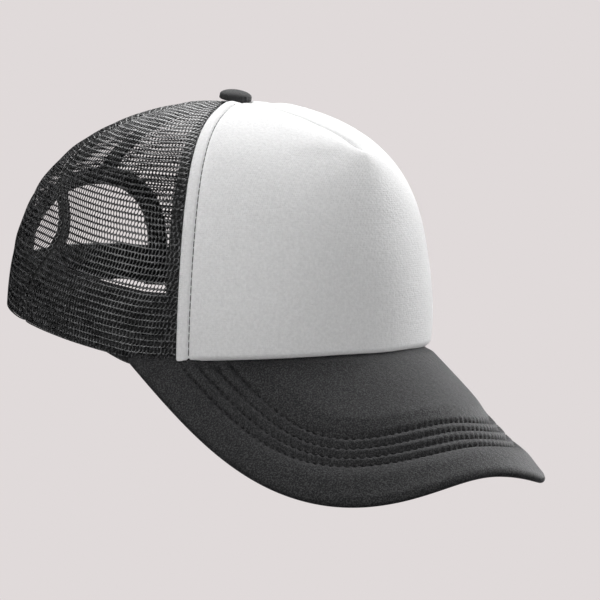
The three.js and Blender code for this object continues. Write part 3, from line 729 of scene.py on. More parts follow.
def in_arch(places, margin):
    """Whether a place lies inside the rear opening, made larger by a margin."""
    x, z = np.abs(places[..., 0]), places[..., 2] - ARCH["spring"]
    half_width, height = ARCH["half_width"] + margin, ARCH["rise"] + margin
    over = (x / half_width) ** ARCH["power"] + (np.maximum(z, 0) / height) ** ARCH["power"] < 1
    return over & (places[..., 1] > 0)


def net_cells(top, limits, convert):
    """The columns and rows of the holes that fit between the seams and outside the opening."""
    rows = round(top / NET["row_pitch"])
    row_pitch, hole_pitch = top / rows, NET["hole_pitch"]
    cells = []
    for row in range(rows):
        height = (row + 0.5) * row_pitch
        low, high = (float(value) for value in limits(height))
        first = math.ceil(low / hole_pitch + NET["seam_room"])
        last = math.floor(high / hole_pitch - NET["seam_room"])
        columns = np.arange(first, last + 1)
        if len(columns):
            angle, rise = convert(columns * hole_pitch, np.full(len(columns), height))
            outside = ~in_arch(crown_surface(angle, rise), UNDER_BINDING)
            cells.append(np.stack([columns[outside], np.full(outside.sum(), row)], -1))
    return np.concatenate(cells), row_pitch


def cell_corners(cells, row_pitch):
    """The eight corners of each cell: their places across and up, and where each cell's are listed."""
    # In quarters of a hole's pitch across, and halves of a row's up, from the cell's middle.
    corners = np.array([(-3, -1), (-1, -1), (1, -1), (2, 0), (3, 1), (1, 1), (-1, 1), (-2, 0)])
    keys = corners[None] + np.stack([4 * cells[:, 0], 2 * cells[:, 1] + 1], -1)[:, None]
    found, index = np.unique(keys.reshape(-1, 2), axis=0, return_inverse=True)
    return found[:, 0] * (NET["hole_pitch"] / 4), found[:, 1] * (row_pitch / 2), index.reshape(-1, 8)


def meet_seams(width, height, low, high):
    """The outermost corners of each row move out to the panel's edges."""
    near = 3 * NET["hole_pitch"] / 4
    moved = np.clip(width, low, high)
    for level in np.unique(height):
        here = np.flatnonzero(height == level)
        first, last = here[np.argmin(width[here])], here[np.argmax(width[here])]
        if width[first] - low[first] < near:
            moved[first] = low[first]
        if high[last] - width[last] < near:
            moved[last] = high[last]
    return moved


def hole_edges(cells, row_pitch, limits):
    """Eight places round the edge of each hole, whose slant changes from row to row."""
    turns = np.radians([225, 270, 315, 0, 45, 90, 135, 180])
    across = NET["hole_width"] / 2 * signed_power(np.cos(turns).round(9), 2 / NET["squareness"])
    up = NET["hole_height"] / 2 * signed_power(np.sin(turns).round(9), 2 / NET["squareness"])
    lean = np.array(NET["leans"])[cells[:, 1] % 2] / NET["hole_height"]
    width = (cells[:, 0] * NET["hole_pitch"])[:, None] + across + lean[:, None] * up
    height = ((cells[:, 1] + 0.5) * row_pitch)[:, None] + up
    low, high = limits(height.ravel())
    width = np.clip(width.ravel(), low + NET["seam_thread"], high - NET["seam_thread"])
    return width.reshape(height.shape), height


def net_depth(width, height, low, high):
    """The net sinks in at its seams, and hangs a little slack between them."""
    from_seam = np.minimum(width - low, high - width)
    across, sway, up = NET["ripple_waves"]
    ripple = NET["ripple"] * np.sin(width * across + 2 * np.sin(height * sway)) * np.sin(height * up)
    valley = NET["valley"] * np.exp(-from_seam / NET["valley_width"])
    return NET["depth"] + ripple * smooth(from_seam, 0, NET["ripple_room"]) + valley


def net_mesh(start, end):
    """Points and faces of a net of slanted holes. Each hole is a ring of threads, whose crest runs
    along the ring's outer edge and whose two faces meet at the hole."""
    top, limits, convert = net_lattice(start, end)
    cells, row_pitch = net_cells(top, limits, convert)
    corner_width, corner_height, index = cell_corners(cells, row_pitch)
    corner_width = meet_seams(corner_width, corner_height, *limits(corner_height))
    hole_width, hole_height = hole_edges(cells, row_pitch, limits)
    ring_width = (hole_width + corner_width[index]) / 2
    ring_height = (hole_height + corner_height[index]) / 2
    width = np.concatenate([corner_width, ring_width.ravel(), hole_width.ravel()])
    height = np.concatenate([corner_height, ring_height.ravel(), hole_height.ravel()])
    angle, rise = convert(width, np.clip(height, 0, top))
    places, inwards = crown_frame(angle, rise)
    bottom = height == 0
    places[bottom, 2] = floor_height(angle[bottom], places[bottom, 0], places[bottom, 1])
    middle = places + inwards * net_depth(width, height, *limits(height))[:, None]
    return net_faces(middle, inwards, index, len(corner_width))


def net_faces(middle, inwards, index, crest_count):
    """Crests are shared by neighbouring holes. The ring and the hole's edge belong to one hole."""
    crest = slice(0, crest_count)
    ring = slice(crest_count, crest_count + index.size)
    hole = slice(crest_count + index.size, None)
    crest_reach = inwards[crest] * NET["thread"]
    ring_reach = inwards[ring] * NET["thread"] * NET["roundness"]
    points = [middle[crest] - crest_reach, middle[crest] + crest_reach,
              middle[ring] - ring_reach, middle[ring] + ring_reach, middle[hole]]
    starts = np.cumsum([0] + [len(part) for part in points])
    ring_index = np.arange(index.size).reshape(index.shape)
    edge = ring_index + starts[4]

    def band(outside, inside):
        faces = np.stack([outside, np.roll(outside, -1, 1), np.roll(inside, -1, 1), inside], -1)
        return faces.reshape(-1, 4)

    outer = [band(index, ring_index + starts[2]), band(ring_index + starts[2], edge)]
    inner = [band(index + starts[1], ring_index + starts[3]), band(ring_index + starts[3], edge)]
    edges = np.stack([index.ravel(), np.roll(index, -1, 1).ravel()], -1)
    codes = edges[:, 0] * crest_count + edges[:, 1]
    lonely = edges[~np.isin(codes, edges[:, 1] * crest_count + edges[:, 0])]
    rim = np.concatenate([lonely[:, ::-1], lonely + starts[1]], -1)
    return np.concatenate(points), [*outer, *[part[:, ::-1] for part in inner], rim]


def net_panels():
    for word, side in SIDES:
        front, middle, back = (partial(seam, side) for seam in (front_seam, side_seam, back_seam))
        inset = side * NET["turned_in"]
        panels = (("side", beside(front, side * GAP / 2), beside(middle, -inset)),
                  ("rear", beside(middle, inset), beside(back, -inset)))
        for kind, *lines in panels:
            points, faces = net_mesh(*lines[::side])
            piece = add_mesh(f"net_{kind}_{word}", points, faces, MATERIALS["net"])
            finish_piece(piece, "crown", "net", f"{kind}_panel_{word}")


# ---------------------------------------------------------------- tapes and bands inside the crown

SEAM_ROOM = 18  # degrees that a tape may reach on each side of its seam
SEAM_TAPE_STITCH = {"from_seam": 0.0045, "above_end": 0.01, "below_top": 0.08}
# The rises at which the tapes of the side seams and of the back seam begin.
ABOVE_HEM_TAPE = 0.075
ABOVE_ARCH = float(rise_at_height(180, ARCH["spring"] + ARCH["rise"] + BINDING["width"] + 0.001))
# How much thinner an edge is on each face, as a share of the thickness.
WORN_EDGE = {"tape": 0.35, "band": 0.4, "binding": 0.3}
SWEATBAND_RISES = 15  # degrees past the brim's end over which the sweatband's edge rises to the hem
BAND_STITCH = {"hem": 0.82, "upper": 0.9, "lower": 0.1}  # share of the way up the band


def seam_tape(name, node, seam, depth, low_rise):
    """A tape sewn over a seam, with a row of stitches near each edge."""
    def half(rise):
        return np.minimum(TAPE["half_width"] / per_degree(seam(rise), rise), SEAM_ROOM)

    across = np.linspace(0, 1, 15)
    rises = np.linspace(low_rise, TAPE["top_rise"], 150)
    lines = (lambda rise: seam(rise) - half(rise)), (lambda rise: seam(rise) + half(rise))
    edge = TAPE["thick"] * WORN_EDGE["tape"] * np.abs(2 * across - 1) ** 6
    inside = depth + TAPE["thick"]
    outer = crown_grid(*lines, across, rises, lambda angle, rise: depth + edge)
    inner = crown_grid(*lines, across, rises, lambda angle, rise: inside - edge)
    piece = add_sheet(name, outer, inner, MATERIALS["tape"])
    finish_piece(piece, "crown", "tape", node)
    low, high = low_rise + SEAM_TAPE_STITCH["above_end"], TAPE["top_rise"] - SEAM_TAPE_STITCH["below_top"]
    stitched = np.linspace(low, high, 200)
    rows = []
    for side in (RIGHT, LEFT):
        line = beside(seam, side * SEAM_TAPE_STITCH["from_seam"])
        path, outwards = crown_stitches(line, stitched, inside)
        rows.append((path, -outwards))
    finish_piece(add_stitching(name + "_stitches", rows), "crown", "tape")


def band_points(angle, up, depth, height, lower):
    """Points on a band inside the crown, from a lower edge to a height above the hem."""
    foot = crown_point(angle, 0 * angle, depth)
    low = lower(angle, foot[..., 0], foot[..., 1])
    level = low + (hem_height(angle) + height - low) * up
    points = crown_point(angle, rise_at_height(angle, level), depth)
    points[..., 2] = level
    return points


def inner_band(name, angles, rows, depth, thick, height, lower, material):
    """A band inside the crown, with rounded edges."""
    angle, up = np.meshgrid(angles, np.linspace(0, 1, rows))
    edge = thick * WORN_EDGE["band"] * np.abs(2 * up - 1) ** 8
    outer = band_points(angle, up, depth + edge, height, lower)
    inner = band_points(angle, up, depth + thick - edge, height, lower)
    return add_sheet(name, outer, inner, material)


def band_stitches(name, angles, share, depth, height, lower, facing):
    """A row of stitches along a band, on its outer face (1) or its inner face (-1)."""
    path = band_points(angles, share + 0 * angles, depth, height, lower)
    inwards = crown_frame(angles, rise_at_height(angles, path[:, 2]))[1]
    finish_piece(add_stitching(name, [(path, -facing * inwards)]), "crown", "tape")


def hem_tape(word, side):
    behind_tape = beside(partial(front_seam, side), side * (TAPE["half_width"] + 2 * GAP))
    start = float(behind_tape(0.0))
    angles = np.linspace(start, side * (SWEATBAND["end_angle"] - 1), 160)
    place = HEM_TAPE["depth"], TAPE["thick"], HEM_TAPE["height"], floor_height
    piece = inner_band(f"hem_fold_{word}", angles, 11, *place, MATERIALS["tape"])
    finish_piece(piece, "crown", "tape", f"hem_tape_{word}")
    stitched = np.linspace(start + side, side * (SWEATBAND["end_angle"] - 3), 300)
    band_stitches(f"hem_stitches_{word}", stitched, BAND_STITCH["hem"], HEM_TAPE["depth"],
                  HEM_TAPE["height"], floor_height, 1)


def sweatband_edge(angle, *_):
    """In front the sweatband hangs lower, over the root of the brim."""
    end = BRIM["end_angle"]
    root = 1 - smooth(np.abs(angle), end, end + SWEATBAND_RISES)
    return hem_height(angle) + GAP - SWEATBAND["below_brim"] * root


def sweatband():
    end = SWEATBAND["end_angle"]
    place = SWEATBAND["depth"], SWEATBAND["thick"], SWEATBAND["height"], sweatband_edge
    piece = inner_band("sweatband_twill", np.linspace(-end, end, 330), 25, *place, MATERIALS["sweatband"])
    finish_piece(piece, "crown", "sweatband", "sweatband")
    stitched = np.linspace(-end + 2, end - 2, 700)
    inside = SWEATBAND["depth"] + SWEATBAND["thick"]
    for row in ("upper", "lower"):
        band_stitches(f"sweatband_{row}_stitches", stitched, BAND_STITCH[row], inside,
                      SWEATBAND["height"], sweatband_edge, -1)


def tapes():
    for word, side in SIDES:
        front, middle = partial(front_seam, side), partial(side_seam, side)
        seam_tape(f"front_tape_{word}", f"front_seam_tape_{word}", front, TAPE["front_depth"], 0)
        seam_tape(f"side_tape_{word}", f"side_seam_tape_{word}", middle, TAPE["depth"], ABOVE_HEM_TAPE)
        hem_tape(word, side)
    seam_tape("back_tape", "back_seam_tape", partial(back_seam, LEFT), TAPE["depth"], ABOVE_ARCH)


# ---------------------------------------------------------------- rear opening

BINDING_STITCH = {"from_edge": 0.0018, "along": (0.01, 0.99)}


def arch_edge(along):
    """The opening's edge from behind: x, z, and its outward direction in the XZ plane."""
    leg, power = ARCH["leg_share"], ARCH["power"]
    from_end = np.minimum(along, 1 - along)
    side = np.where(along < 0.5, RIGHT, LEFT)
    turn = math.pi * (1 - (np.clip(along, leg, 1 - leg) - leg) / (1 - 2 * leg))
    x = ARCH["half_width"] * signed_power(np.cos(turn), 2 / power)
    up = ARCH["rise"] * np.abs(np.sin(turn)) ** (2 / power)
    slope_x = signed_power(x / ARCH["half_width"], power - 1) / ARCH["half_width"]
    slope_z = (up / ARCH["rise"]) ** (power - 1) / ARCH["rise"]
    size = np.hypot(slope_x, slope_z)
    on_leg = from_end < leg
    x = np.where(on_leg, side * ARCH["half_width"], x)
    z = ARCH["spring"] * np.minimum(from_end / leg, 1) + np.where(on_leg, 0, up)
    return x, z, np.where(on_leg, side, slope_x / size), np.where(on_leg, 0, slope_z / size)


def binding_outline():
    """The folded tape's section: distances from the opening's edge, and heights above the crown."""
    thick, width = BINDING["thick"], BINDING["width"]
    outside = BINDING["outer_gap"] + thick
    inside = -BINDING["inner_depth"] - thick
    centre, radius = (outside + inside) / 2, (outside - inside) / 2
    turns = np.radians(np.linspace(90, -90, 13))
    legs = np.linspace(width, radius, 8)[:-1]
    edge = thick * WORN_EDGE["binding"] * (legs == width)

    def leg(height):
        return np.stack([legs, height + 0 * legs], -1)

    def fold(reach):
        return np.stack([radius - reach * np.cos(turns), centre + reach * np.sin(turns)], -1)

    return np.concatenate([leg(outside - edge), fold(radius), leg(inside)[::-1], leg(inside + thick),
                           fold(radius - thick)[::-1], leg(outside - thick)[::-1]])


def opening_binding():
    outline = binding_outline()
    x, z, normal_x, normal_z = (value[:, None] for value in arch_edge(np.linspace(0, 1, 190)))
    across, proud = outline[:, 0], outline[:, 1]
    sections = back_point(x + across * normal_x, z + across * normal_z, -proud + 0 * x)
    walked, steps = path_lengths(sections[:, 0]), path_lengths(outline)
    cloth = np.stack(np.broadcast_arrays(walked[:, None], steps[None, :]), -1)
    piece = add_loft("opening_bias_tape", sections, MATERIALS["tape"], cloth)
    finish_piece(piece, "crown", "tape", "opening_binding")


def opening_stitching():
    """Rows of stitches near the folded tape's two edges, outside and inside the crown."""
    x, z, normal_x, normal_z = arch_edge(np.linspace(*BINDING_STITCH["along"], 600))
    away = BINDING["width"] - BINDING_STITCH["from_edge"]
    x, z = x + away * normal_x, z + away * normal_z
    outside = BINDING["outer_gap"] + BINDING["thick"]
    inside = -BINDING["inner_depth"] - BINDING["thick"]
    rows = []
    for proud, facing in ((outside, -1), (inside, 1)):
        path = back_point(x, z, -proud)
        deeper = back_point(x, z, PROBE - proud)
        rows.append((path, facing * unit(deeper - path)))
    finish_piece(add_stitching("opening_stitches", rows), "crown", "tape")


# ---------------------------------------------------------------- brim

BRIM_MESH = {"sections": 380, "rows": 112, "rim_rows": 17, "hidden_rows": 12, "rim_power": 0.9,
             "low_sections": 300, "low_rows": 100, "covered_share": 1 / 16}
# Rows of points lie closer together between these shares of the way in from the outer edge.
CROWDING = {"more": 2.2, "from": (0.05, 0.10), "to": (0.46, 0.52)}
# A row of stitches is widest at "straight", and crosses the middle at one of the "reaches" (both Y).
BRIM_ROWS = {"count": 4, "straight": -0.03, "side_power": 2.5, "half_widths": (0.0572, 0.069),
             "reaches": (-0.1318, -0.1457), "powers": (5.5, 3.8), "clear_of_crown": 1.04}
BRIM_RELIEF = {"groove": 0.0018, "groove_width": 0.0010, "pucker": 0.35,
               "ripple": 0.00008, "ripple_at": 0.0015, "ripple_width": 0.0009,
               "centre_puff": 0.0015, "centre_room": (0.0004, 0.008),
               "rim_puff": 0.0009, "rim_at": 0.005, "rim_width": 0.004,
               "fade_in": (0.004, 0.010), "underside": 0.3}


def between(ends, share):
    return ends[0] + (ends[1] - ends[0]) * share


class StitchedRow:
    """One row of stitches on the brim: |x/w|^n + q^m = 1, with q the share of its forward reach."""

    def __init__(self, share):
        self.half_width = between(BRIM_ROWS["half_widths"], share)
        self.length = BRIM_ROWS["straight"] - between(BRIM_ROWS["reaches"], share)
        self.power = between(BRIM_ROWS["powers"], share)
        self.turns = np.radians(np.linspace(-90, 90, 1201))
        self.path = np.stack(self.point(self.turns), -1)
        self.lengths = path_lengths(self.path)

    def point(self, turn):
        x = self.half_width * signed_power(np.sin(turn), 2 / BRIM_ROWS["side_power"])
        return x, BRIM_ROWS["straight"] - self.length * np.abs(np.cos(turn)) ** (2 / self.power)

    def away(self, x, y):
        """The distance outside the row, nearly, and the distance along it."""
        side = BRIM_ROWS["side_power"]
        across = np.abs(x / self.half_width)
        ahead = np.clip((BRIM_ROWS["straight"] - y) / self.length, 1e-6, None)
        slope_x = side * across ** (side - 1) / self.half_width
        slope_y = self.power * ahead ** (self.power - 1) / self.length
        off = (across ** side + ahead ** self.power - 1) / np.hypot(slope_x, slope_y)
        turn = np.arctan2(np.sign(x) * across ** (side / 2), ahead ** (self.power / 2))
        return off, np.interp(turn, self.turns, self.lengths)


STITCHED_ROWS = [StitchedRow(share) for share in np.linspace(0, 1, BRIM_ROWS["count"])]


def brim_relief(x, y, from_root):
    """How far the brim's knit lies below its plain face: grooves, puckers and padding."""
    relief = BRIM_RELIEF
    depth = np.zeros(np.shape(x))
    for row in STITCHED_ROWS:
        off, walked = row.away(x, y)
        wave = np.cos(2 * math.pi * walked / STITCH["pitch"])
        depth += relief["groove"] * bump(off, 0, relief["groove_width"]) * (1 + relief["pucker"] * wave)
        depth += relief["ripple"] * wave * bump(np.abs(off), relief["ripple_at"], relief["ripple_width"])
    inside = -STITCHED_ROWS[0].away(x, y)[0]
    outside = STITCHED_ROWS[-1].away(x, y)[0]
    padding = relief["centre_puff"] * smooth(inside, *relief["centre_room"])
    padding += relief["rim_puff"] * bump(outside, relief["rim_at"], relief["rim_width"])
    return (depth - padding) * smooth(from_root, *relief["fade_in"])


def brim_inner_edge(share):
    angle = -BRIM["end_angle"] + 2 * BRIM["end_angle"] * share
    return crown_point(angle, 0 * share, BRIM["root_depth"])[..., :2]


def brim_outer_edge(share):
    turn = math.pi * (share - 0.5)
    end_x, end_y = hem_plan(BRIM["end_angle"])
    reach = HEM["front"] - HEM["centre_y"] + BRIM["length"] + end_y
    x = end_x * BRIM["flare"] * signed_power(np.sin(turn), 2 / BRIM["outline_power"])
    y = end_y - reach * np.abs(np.cos(turn)) ** (2 / BRIM["outline_power"])
    return np.stack([x, y], -1)


def even_points(curve, shares):
    path = curve(np.linspace(0, 1, 2001))
    lengths = path_lengths(path)
    return along_path(path, lengths, shares * lengths[-1])


def brim_point(x, y, depth, outwards):
    """Straight down where the brim meets the crown, and square to its face at the outer edge."""
    step = 1e-5
    slope_x = (brim_height(x + step, y) - brim_height(x - step, y)) / (2 * step)
    slope_y = np.full(np.shape(x), math.tan(BRIM["pitch"]))
    size = np.sqrt(slope_x ** 2 + slope_y ** 2 + 1)
    square = np.stack([slope_x, slope_y, -np.ones(np.shape(x))], -1) / size[..., None]
    plumb = np.stack([0 * size, 0 * size, -size], -1)
    outwards = np.broadcast_to(outwards, np.shape(x))[..., None]
    direction = plumb * (1 - outwards) + square * outwards
    face = np.stack([x, y, brim_height(x, y)], -1)
    return face + direction * np.broadcast_to(depth, np.shape(x))[..., None]


def brim_sections(shares, away, depth, relief_side):
    """Rings of points through the brim. Each ring has distances in from the outer edge, depths, and
    how much of the relief each point takes: 1 on the upper face, -1 on the lower one."""
    outer = even_points(brim_outer_edge, shares)[:, None]
    inner = even_points(brim_inner_edge, shares)[:, None]
    width = length_of(outer - inner)
    share_in = np.minimum(away(width), width)
    plan = outer + (inner - outer) * (share_in / width)[..., None]
    x, y = plan[..., 0], plan[..., 1]
    relief = brim_relief(x, y, width - share_in)
    from_edge = smooth(share_in, 0, BRIM["lip"])
    return brim_point(x, y, depth + relief * relief_side * from_edge, 1 - share_in / width), plan


def row_crowding(share):
    """Rows of points lie closest where the stitched rows cross the brim."""
    return 1 + CROWDING["more"] * smooth(share, *CROWDING["from"]) * (1 - smooth(share, *CROWDING["to"]))


def brim_top():
    lip = BRIM["lip"]
    shares = np.linspace(0, 1, BRIM_MESH["sections"])
    face = uneven_steps(BRIM_MESH["rows"], row_crowding)[::-1]
    turns = np.radians(np.linspace(90, -90, BRIM_MESH["rim_rows"]))[1:-1]
    below = np.linspace(0, 1, BRIM_MESH["hidden_rows"])
    rounding = lip * (1 - np.abs(np.cos(turns)) ** BRIM_MESH["rim_power"])
    edge_depth = BRIM["rim_total"] / 2 * (1 - np.sin(turns))

    def away(width):
        reach = np.maximum(width - lip, 0)
        upper = lip + reach * face
        lower = lip + reach * below
        rim = np.broadcast_to(rounding, (len(width), len(rounding)))
        return np.concatenate([upper, rim, np.full((len(width), 1), lip), lower], 1)

    depth = np.r_[0 * face, edge_depth, BRIM["rim_total"], BRIM["top_cover"] + 0 * below]
    takes = np.r_[1 + 0 * face, 1 - smooth(edge_depth, 0, BRIM["rim_total"] / 2), 0, 0 * below]
    sections, plan = brim_sections(shares, away, depth, takes)
    piece = add_loft("brim_knit_upper", sections, MATERIALS["brim"], plan)
    finish_piece(piece, "crown", "brim_fabric", "brim_top_cover")


def brim_underside():
    ends = BRIM_MESH["covered_share"]
    shares = np.linspace(ends, 1 - ends, BRIM_MESH["low_sections"])
    face = uneven_steps(BRIM_MESH["low_rows"], row_crowding)

    def away(width):
        inset = BRIM["lip"] + GAP
        upper = inset + (width - inset) * face[::-1]
        return np.concatenate([upper, upper[:, ::-1]], 1)

    depth = np.r_[BRIM["lining_top"] + 0 * face, BRIM["total"] + 0 * face]
    takes = np.r_[0 * face, -BRIM_RELIEF["underside"] + 0 * face]
    sections, plan = brim_sections(shares, away, depth, takes)
    piece = add_loft("brim_knit_lower", sections, MATERIALS["brim"], plan)
    finish_piece(piece, "crown", "brim_fabric", "brim_bottom_cover")


def clear_of_crown(x, y):
    power = HEM["front_power"]
    ahead = np.maximum(HEM["centre_y"] - y, 0) / HEM["front"]
    return np.abs(x / HEM["half_width"]) ** power + ahead ** power > BRIM_ROWS["clear_of_crown"]


def brim_stitching():
    """Every row shows on both faces of the brim, wherever it is clear of the crown."""
    groove = BRIM_RELIEF["groove"]
    low_face = BRIM["total"] - groove * BRIM_RELIEF["underside"]
    for word, facing, depth in (("upper", 1, groove), ("lower", -1, low_face)):
        rows = []
        for row in STITCHED_ROWS:
            x, y = row.path[clear_of_crown(*row.path.T)].T
            plain = brim_point(x, y, 0, 1)
            down = unit(brim_point(x, y, PROBE, 1) - plain)
            rows.append((plain + down * depth, -facing * down))
        finish_piece(add_stitching(f"brim_stitches_{word}", rows), "crown", "brim_fabric")


# ---------------------------------------------------------------- button

BUTTON = {"radius": 0.007, "height": 0.0046, "shoulder": 0.002, "rim": 0.0009, "bore": 0.0016,
          "bore_depth": 0.0026, "pleats": 20, "pleat": 0.00014, "pleat_height": 0.0012}


def button():
    """A fabric-covered dome, gathered under its rim, on the rivet's post."""
    radius, rim, shoulder, bore = (BUTTON[key] for key in ("radius", "rim", "shoulder", "bore"))
    rolled = np.radians(np.linspace(-90, 0, 8))
    domed = np.radians(np.linspace(0, 88, 20))[1:]
    dome = shoulder + (BUTTON["height"] - shoulder) * np.sin(domed)
    radii = np.r_[bore, bore, radius / 2, radius - rim + rim * np.cos(rolled), radius * np.cos(domed)]
    heights = np.r_[BUTTON["bore_depth"], 0, 0, rim + rim * np.sin(rolled), dome]
    turns = np.radians(np.arange(0, 360, 3))
    gather = bump(heights, rim, BUTTON["pleat_height"]) * (radii > radius / 2)
    reach = radii[:, None] + BUTTON["pleat"] * np.cos(BUTTON["pleats"] * turns) * gather[:, None]
    rings = np.stack([reach * np.cos(turns), reach * np.sin(turns), heights[:, None] + 0 * reach], -1)
    base = crown_surface(0, 1) + np.array([0, 0, GAP])
    piece = add_loft("covered_button", rings + base, MATERIALS["button"], rings[..., :2])
    finish_piece(piece, "crown", "button_fabric", "button_top")


# ---------------------------------------------------------------- snap strap

BACK_ANGLES = np.linspace(180, 100, 801)
BACK_PLACES = np.stack(hem_plan(BACK_ANGLES), -1)
BACK_LENGTHS = path_lengths(BACK_PLACES)
STRAP_MIDDLE = (STRAP["top"] + STRAP["bottom"]) / 2
STRAP_HALF = (STRAP["top"] - STRAP["bottom"]) / 2
STRAP_ROUNDING = 0.0004
STRAP_BEND = 0.004  # on each side of the hinge
STRAP_CUTS = 0.0012  # between the cuts that let a strap follow the curve of the hem
PEG = {"rounding": 0.0007, "dimple": (0.0005, 0.0001), "fillet": 0.0003, "flare": (0.0002, 0.0003),
       "sunk": 0.0004}


def strap_point(distance, depth, z):
    """A place on the strap, at a distance round the back of the hem from its middle."""
    side = np.where(distance < 0, RIGHT, LEFT)
    angle = side * np.interp(np.abs(distance), BACK_LENGTHS, BACK_ANGLES)
    points = crown_point(angle, 0 * angle, depth)
    points[..., 2] = z
    return points


def hole_strap_depth(distance):
    lift = 1 - smooth(distance, STRAP["ramp_end"], STRAP["ramp_start"])
    return STRAP["inner_depth"] + (STRAP["outer_depth"] - STRAP["inner_depth"]) * lift


def peg_strap_depth(distance):
    return STRAP["inner_depth"] + 0 * distance


def strap_outline(root, tip, inset):
    """The strap's flat outline: a square root and a round tip."""
    half = STRAP_HALF - inset
    towards = math.copysign(1, tip - root)
    turns = np.radians(np.linspace(-90, 90, 33))
    along = tip - towards * STRAP_HALF + towards * half * np.cos(turns)
    ends = root + towards * inset
    return np.stack([np.r_[ends, along, ends], np.r_[-half, half * np.sin(turns), half]], -1)


def hole_outline(place, inset):
    turns = np.radians(np.arange(0, 360, 10))
    radius = STRAP["hole_radius"] + inset
    return np.stack([place + radius * np.cos(turns), radius * np.sin(turns)], -1)


def strap_plate(root, tip, holes):
    """A flat plate with rounded edges, as points (along, up, depth) and faces."""
    turns = np.radians(np.linspace(0, 90, 4))
    layers = list(zip(STRAP_ROUNDING * (1 - np.sin(turns)), STRAP_ROUNDING * (1 - np.cos(turns))))
    layers += [(inset, STRAP["thick"] - depth) for inset, depth in layers[::-1]]
    loops = [lambda inset: strap_outline(root, tip, inset)]
    loops += [lambda inset, place=place: hole_outline(place, inset) for place in holes]
    points, walls, starts = [], [], []
    for inset, depth in layers:
        starts.append(sum(len(part) for part in points))
        for loop in loops:
            flat = loop(inset)
            points.append(np.column_stack([flat, np.full(len(flat), depth)]))
    layer_size = starts[1]
    offset = 0
    for part in points[:len(loops)]:
        ring = offset + np.arange(len(part))
        follow = np.roll(ring, -1)
        for start in starts[:-1]:
            walls.append(np.stack([ring, follow, follow + layer_size, ring + layer_size], -1) + start)
        offset += len(part)
    polygons = [[Vector(point) for point in part] for part in points[:len(loops)]]
    cap = np.array(tessellate_polygon(polygons))
    return np.concatenate(points), [np.concatenate(walls), cap, cap[:, ::-1] + starts[-1]]


def cut_across(mesh, spacing):
    """Cuts a mesh at even spacings along X, so that it can bend."""
    edit = bmesh.new()
    edit.from_mesh(mesh)
    low, high = min(v.co.x for v in edit.verts), max(v.co.x for v in edit.verts)
    for place in np.arange(low + spacing / 2, high, spacing):
        everything = edit.verts[:] + edit.edges[:] + edit.faces[:]
        plane = {"plane_co": (place, 0, 0), "plane_no": (1, 0, 0)}
        bmesh.ops.bisect_plane(edit, geom=everything, dist=1e-7, **plane)
    bmesh.ops.recalc_face_normals(edit, faces=edit.faces[:])
    edit.to_mesh(mesh)
    edit.free()


def bend_to_hem(mesh, depth_at):
    flat = np.empty(len(mesh.vertices) * 3, np.float32)
    mesh.vertices.foreach_get("co", flat)
    along, up, deep = flat.reshape(-1, 3).astype(float).T
    placed = strap_point(along, depth_at(along) + deep, STRAP_MIDDLE + up)
    mesh.vertices.foreach_set("co", placed.astype(np.float32).ravel())
    mesh.update()


def strap_strip(name, root, tip, holes, depth_at):
    piece = add_mesh(name, *strap_plate(root, tip, holes), MATERIALS["strap"])
    cut_across(piece.data, STRAP_CUTS)
    bend_to_hem(piece.data, depth_at)
    return piece


def peg(place):
    """A round peg with a rounded top, square to the strap, on a slightly flared foot."""
    radius, top = STRAP["peg_radius"], STRAP["outer_depth"] - STRAP["peg_proud"]
    foot, rounding = STRAP["inner_depth"], PEG["rounding"]
    dimple, dip = PEG["dimple"]
    turns = np.radians(np.linspace(90, 0, 7))
    radii = np.r_[dimple, radius - rounding + rounding * np.cos(turns), radius,
                  radius + np.array(PEG["flare"])]
    depths = np.r_[top + dip, top + rounding * (1 - np.sin(turns)), foot - PEG["fillet"], foot,
                   foot + PEG["sunk"]]
    centre = strap_point(np.array(place), 0.0, STRAP_MIDDLE)
    inwards = unit(strap_point(np.array(place), PROBE, STRAP_MIDDLE) - centre)
    aside = np.cross(inwards, (0, 0, 1))
    around = np.radians(np.arange(0, 360, 10))
    circle = np.cos(around)[:, None] * aside + np.sin(around)[:, None] * np.array([0, 0, 1])
    rings = centre + depths[:, None, None] * inwards + radii[:, None, None] * circle
    return add_loft("peg", rings, MATERIALS["strap"])


def straps():
    places = np.arange(STRAP["count"]) * STRAP["pitch"]
    strip = strap_strip("strap_with_pegs", -STRAP["tab_end"], STRAP["peg_tip"], [], peg_strap_depth)
    pegs = [peg(place) for place in STRAP["first_peg"] + places]
    finish_strap(join("strap_with_pegs", [strip, *pegs]), RIGHT, "peg_strap", "strap_tab_right")
    strip = strap_strip("strap_with_holes", STRAP["tab_end"], -STRAP["hole_tip"],
                        STRAP["first_hole"] + places, hole_strap_depth)
    finish_strap(strip, LEFT, "hole_strap", "strap_tab_left")


def finish_strap(piece, side, body, tab):
    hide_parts(body, tab)
    start, end = (
        strap_point(np.array(side * (STRAP["hinge_at"] + away)), STRAP["inner_depth"], STRAP_MIDDLE)
        for away in (STRAP_BEND, -STRAP_BEND))
    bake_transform(piece)


def dress_cad_nodes():
    """The board and the rivet keep their CAD shape."""
    for node, material in (("brim_board", "board"), ("button_rivet", "rivet")):
        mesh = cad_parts[node].data
        mesh.materials.clear()
        mesh.materials.append(MATERIALS[material])


net_panels()
front_panel()
front_stitching()
tapes()
sweatband()
opening_binding()
opening_stitching()
brim_top()
brim_underside()
brim_stitching()
button()
straps()
dress_cad_nodes()


# ---------------------------------------------------------------- stage, light and camera

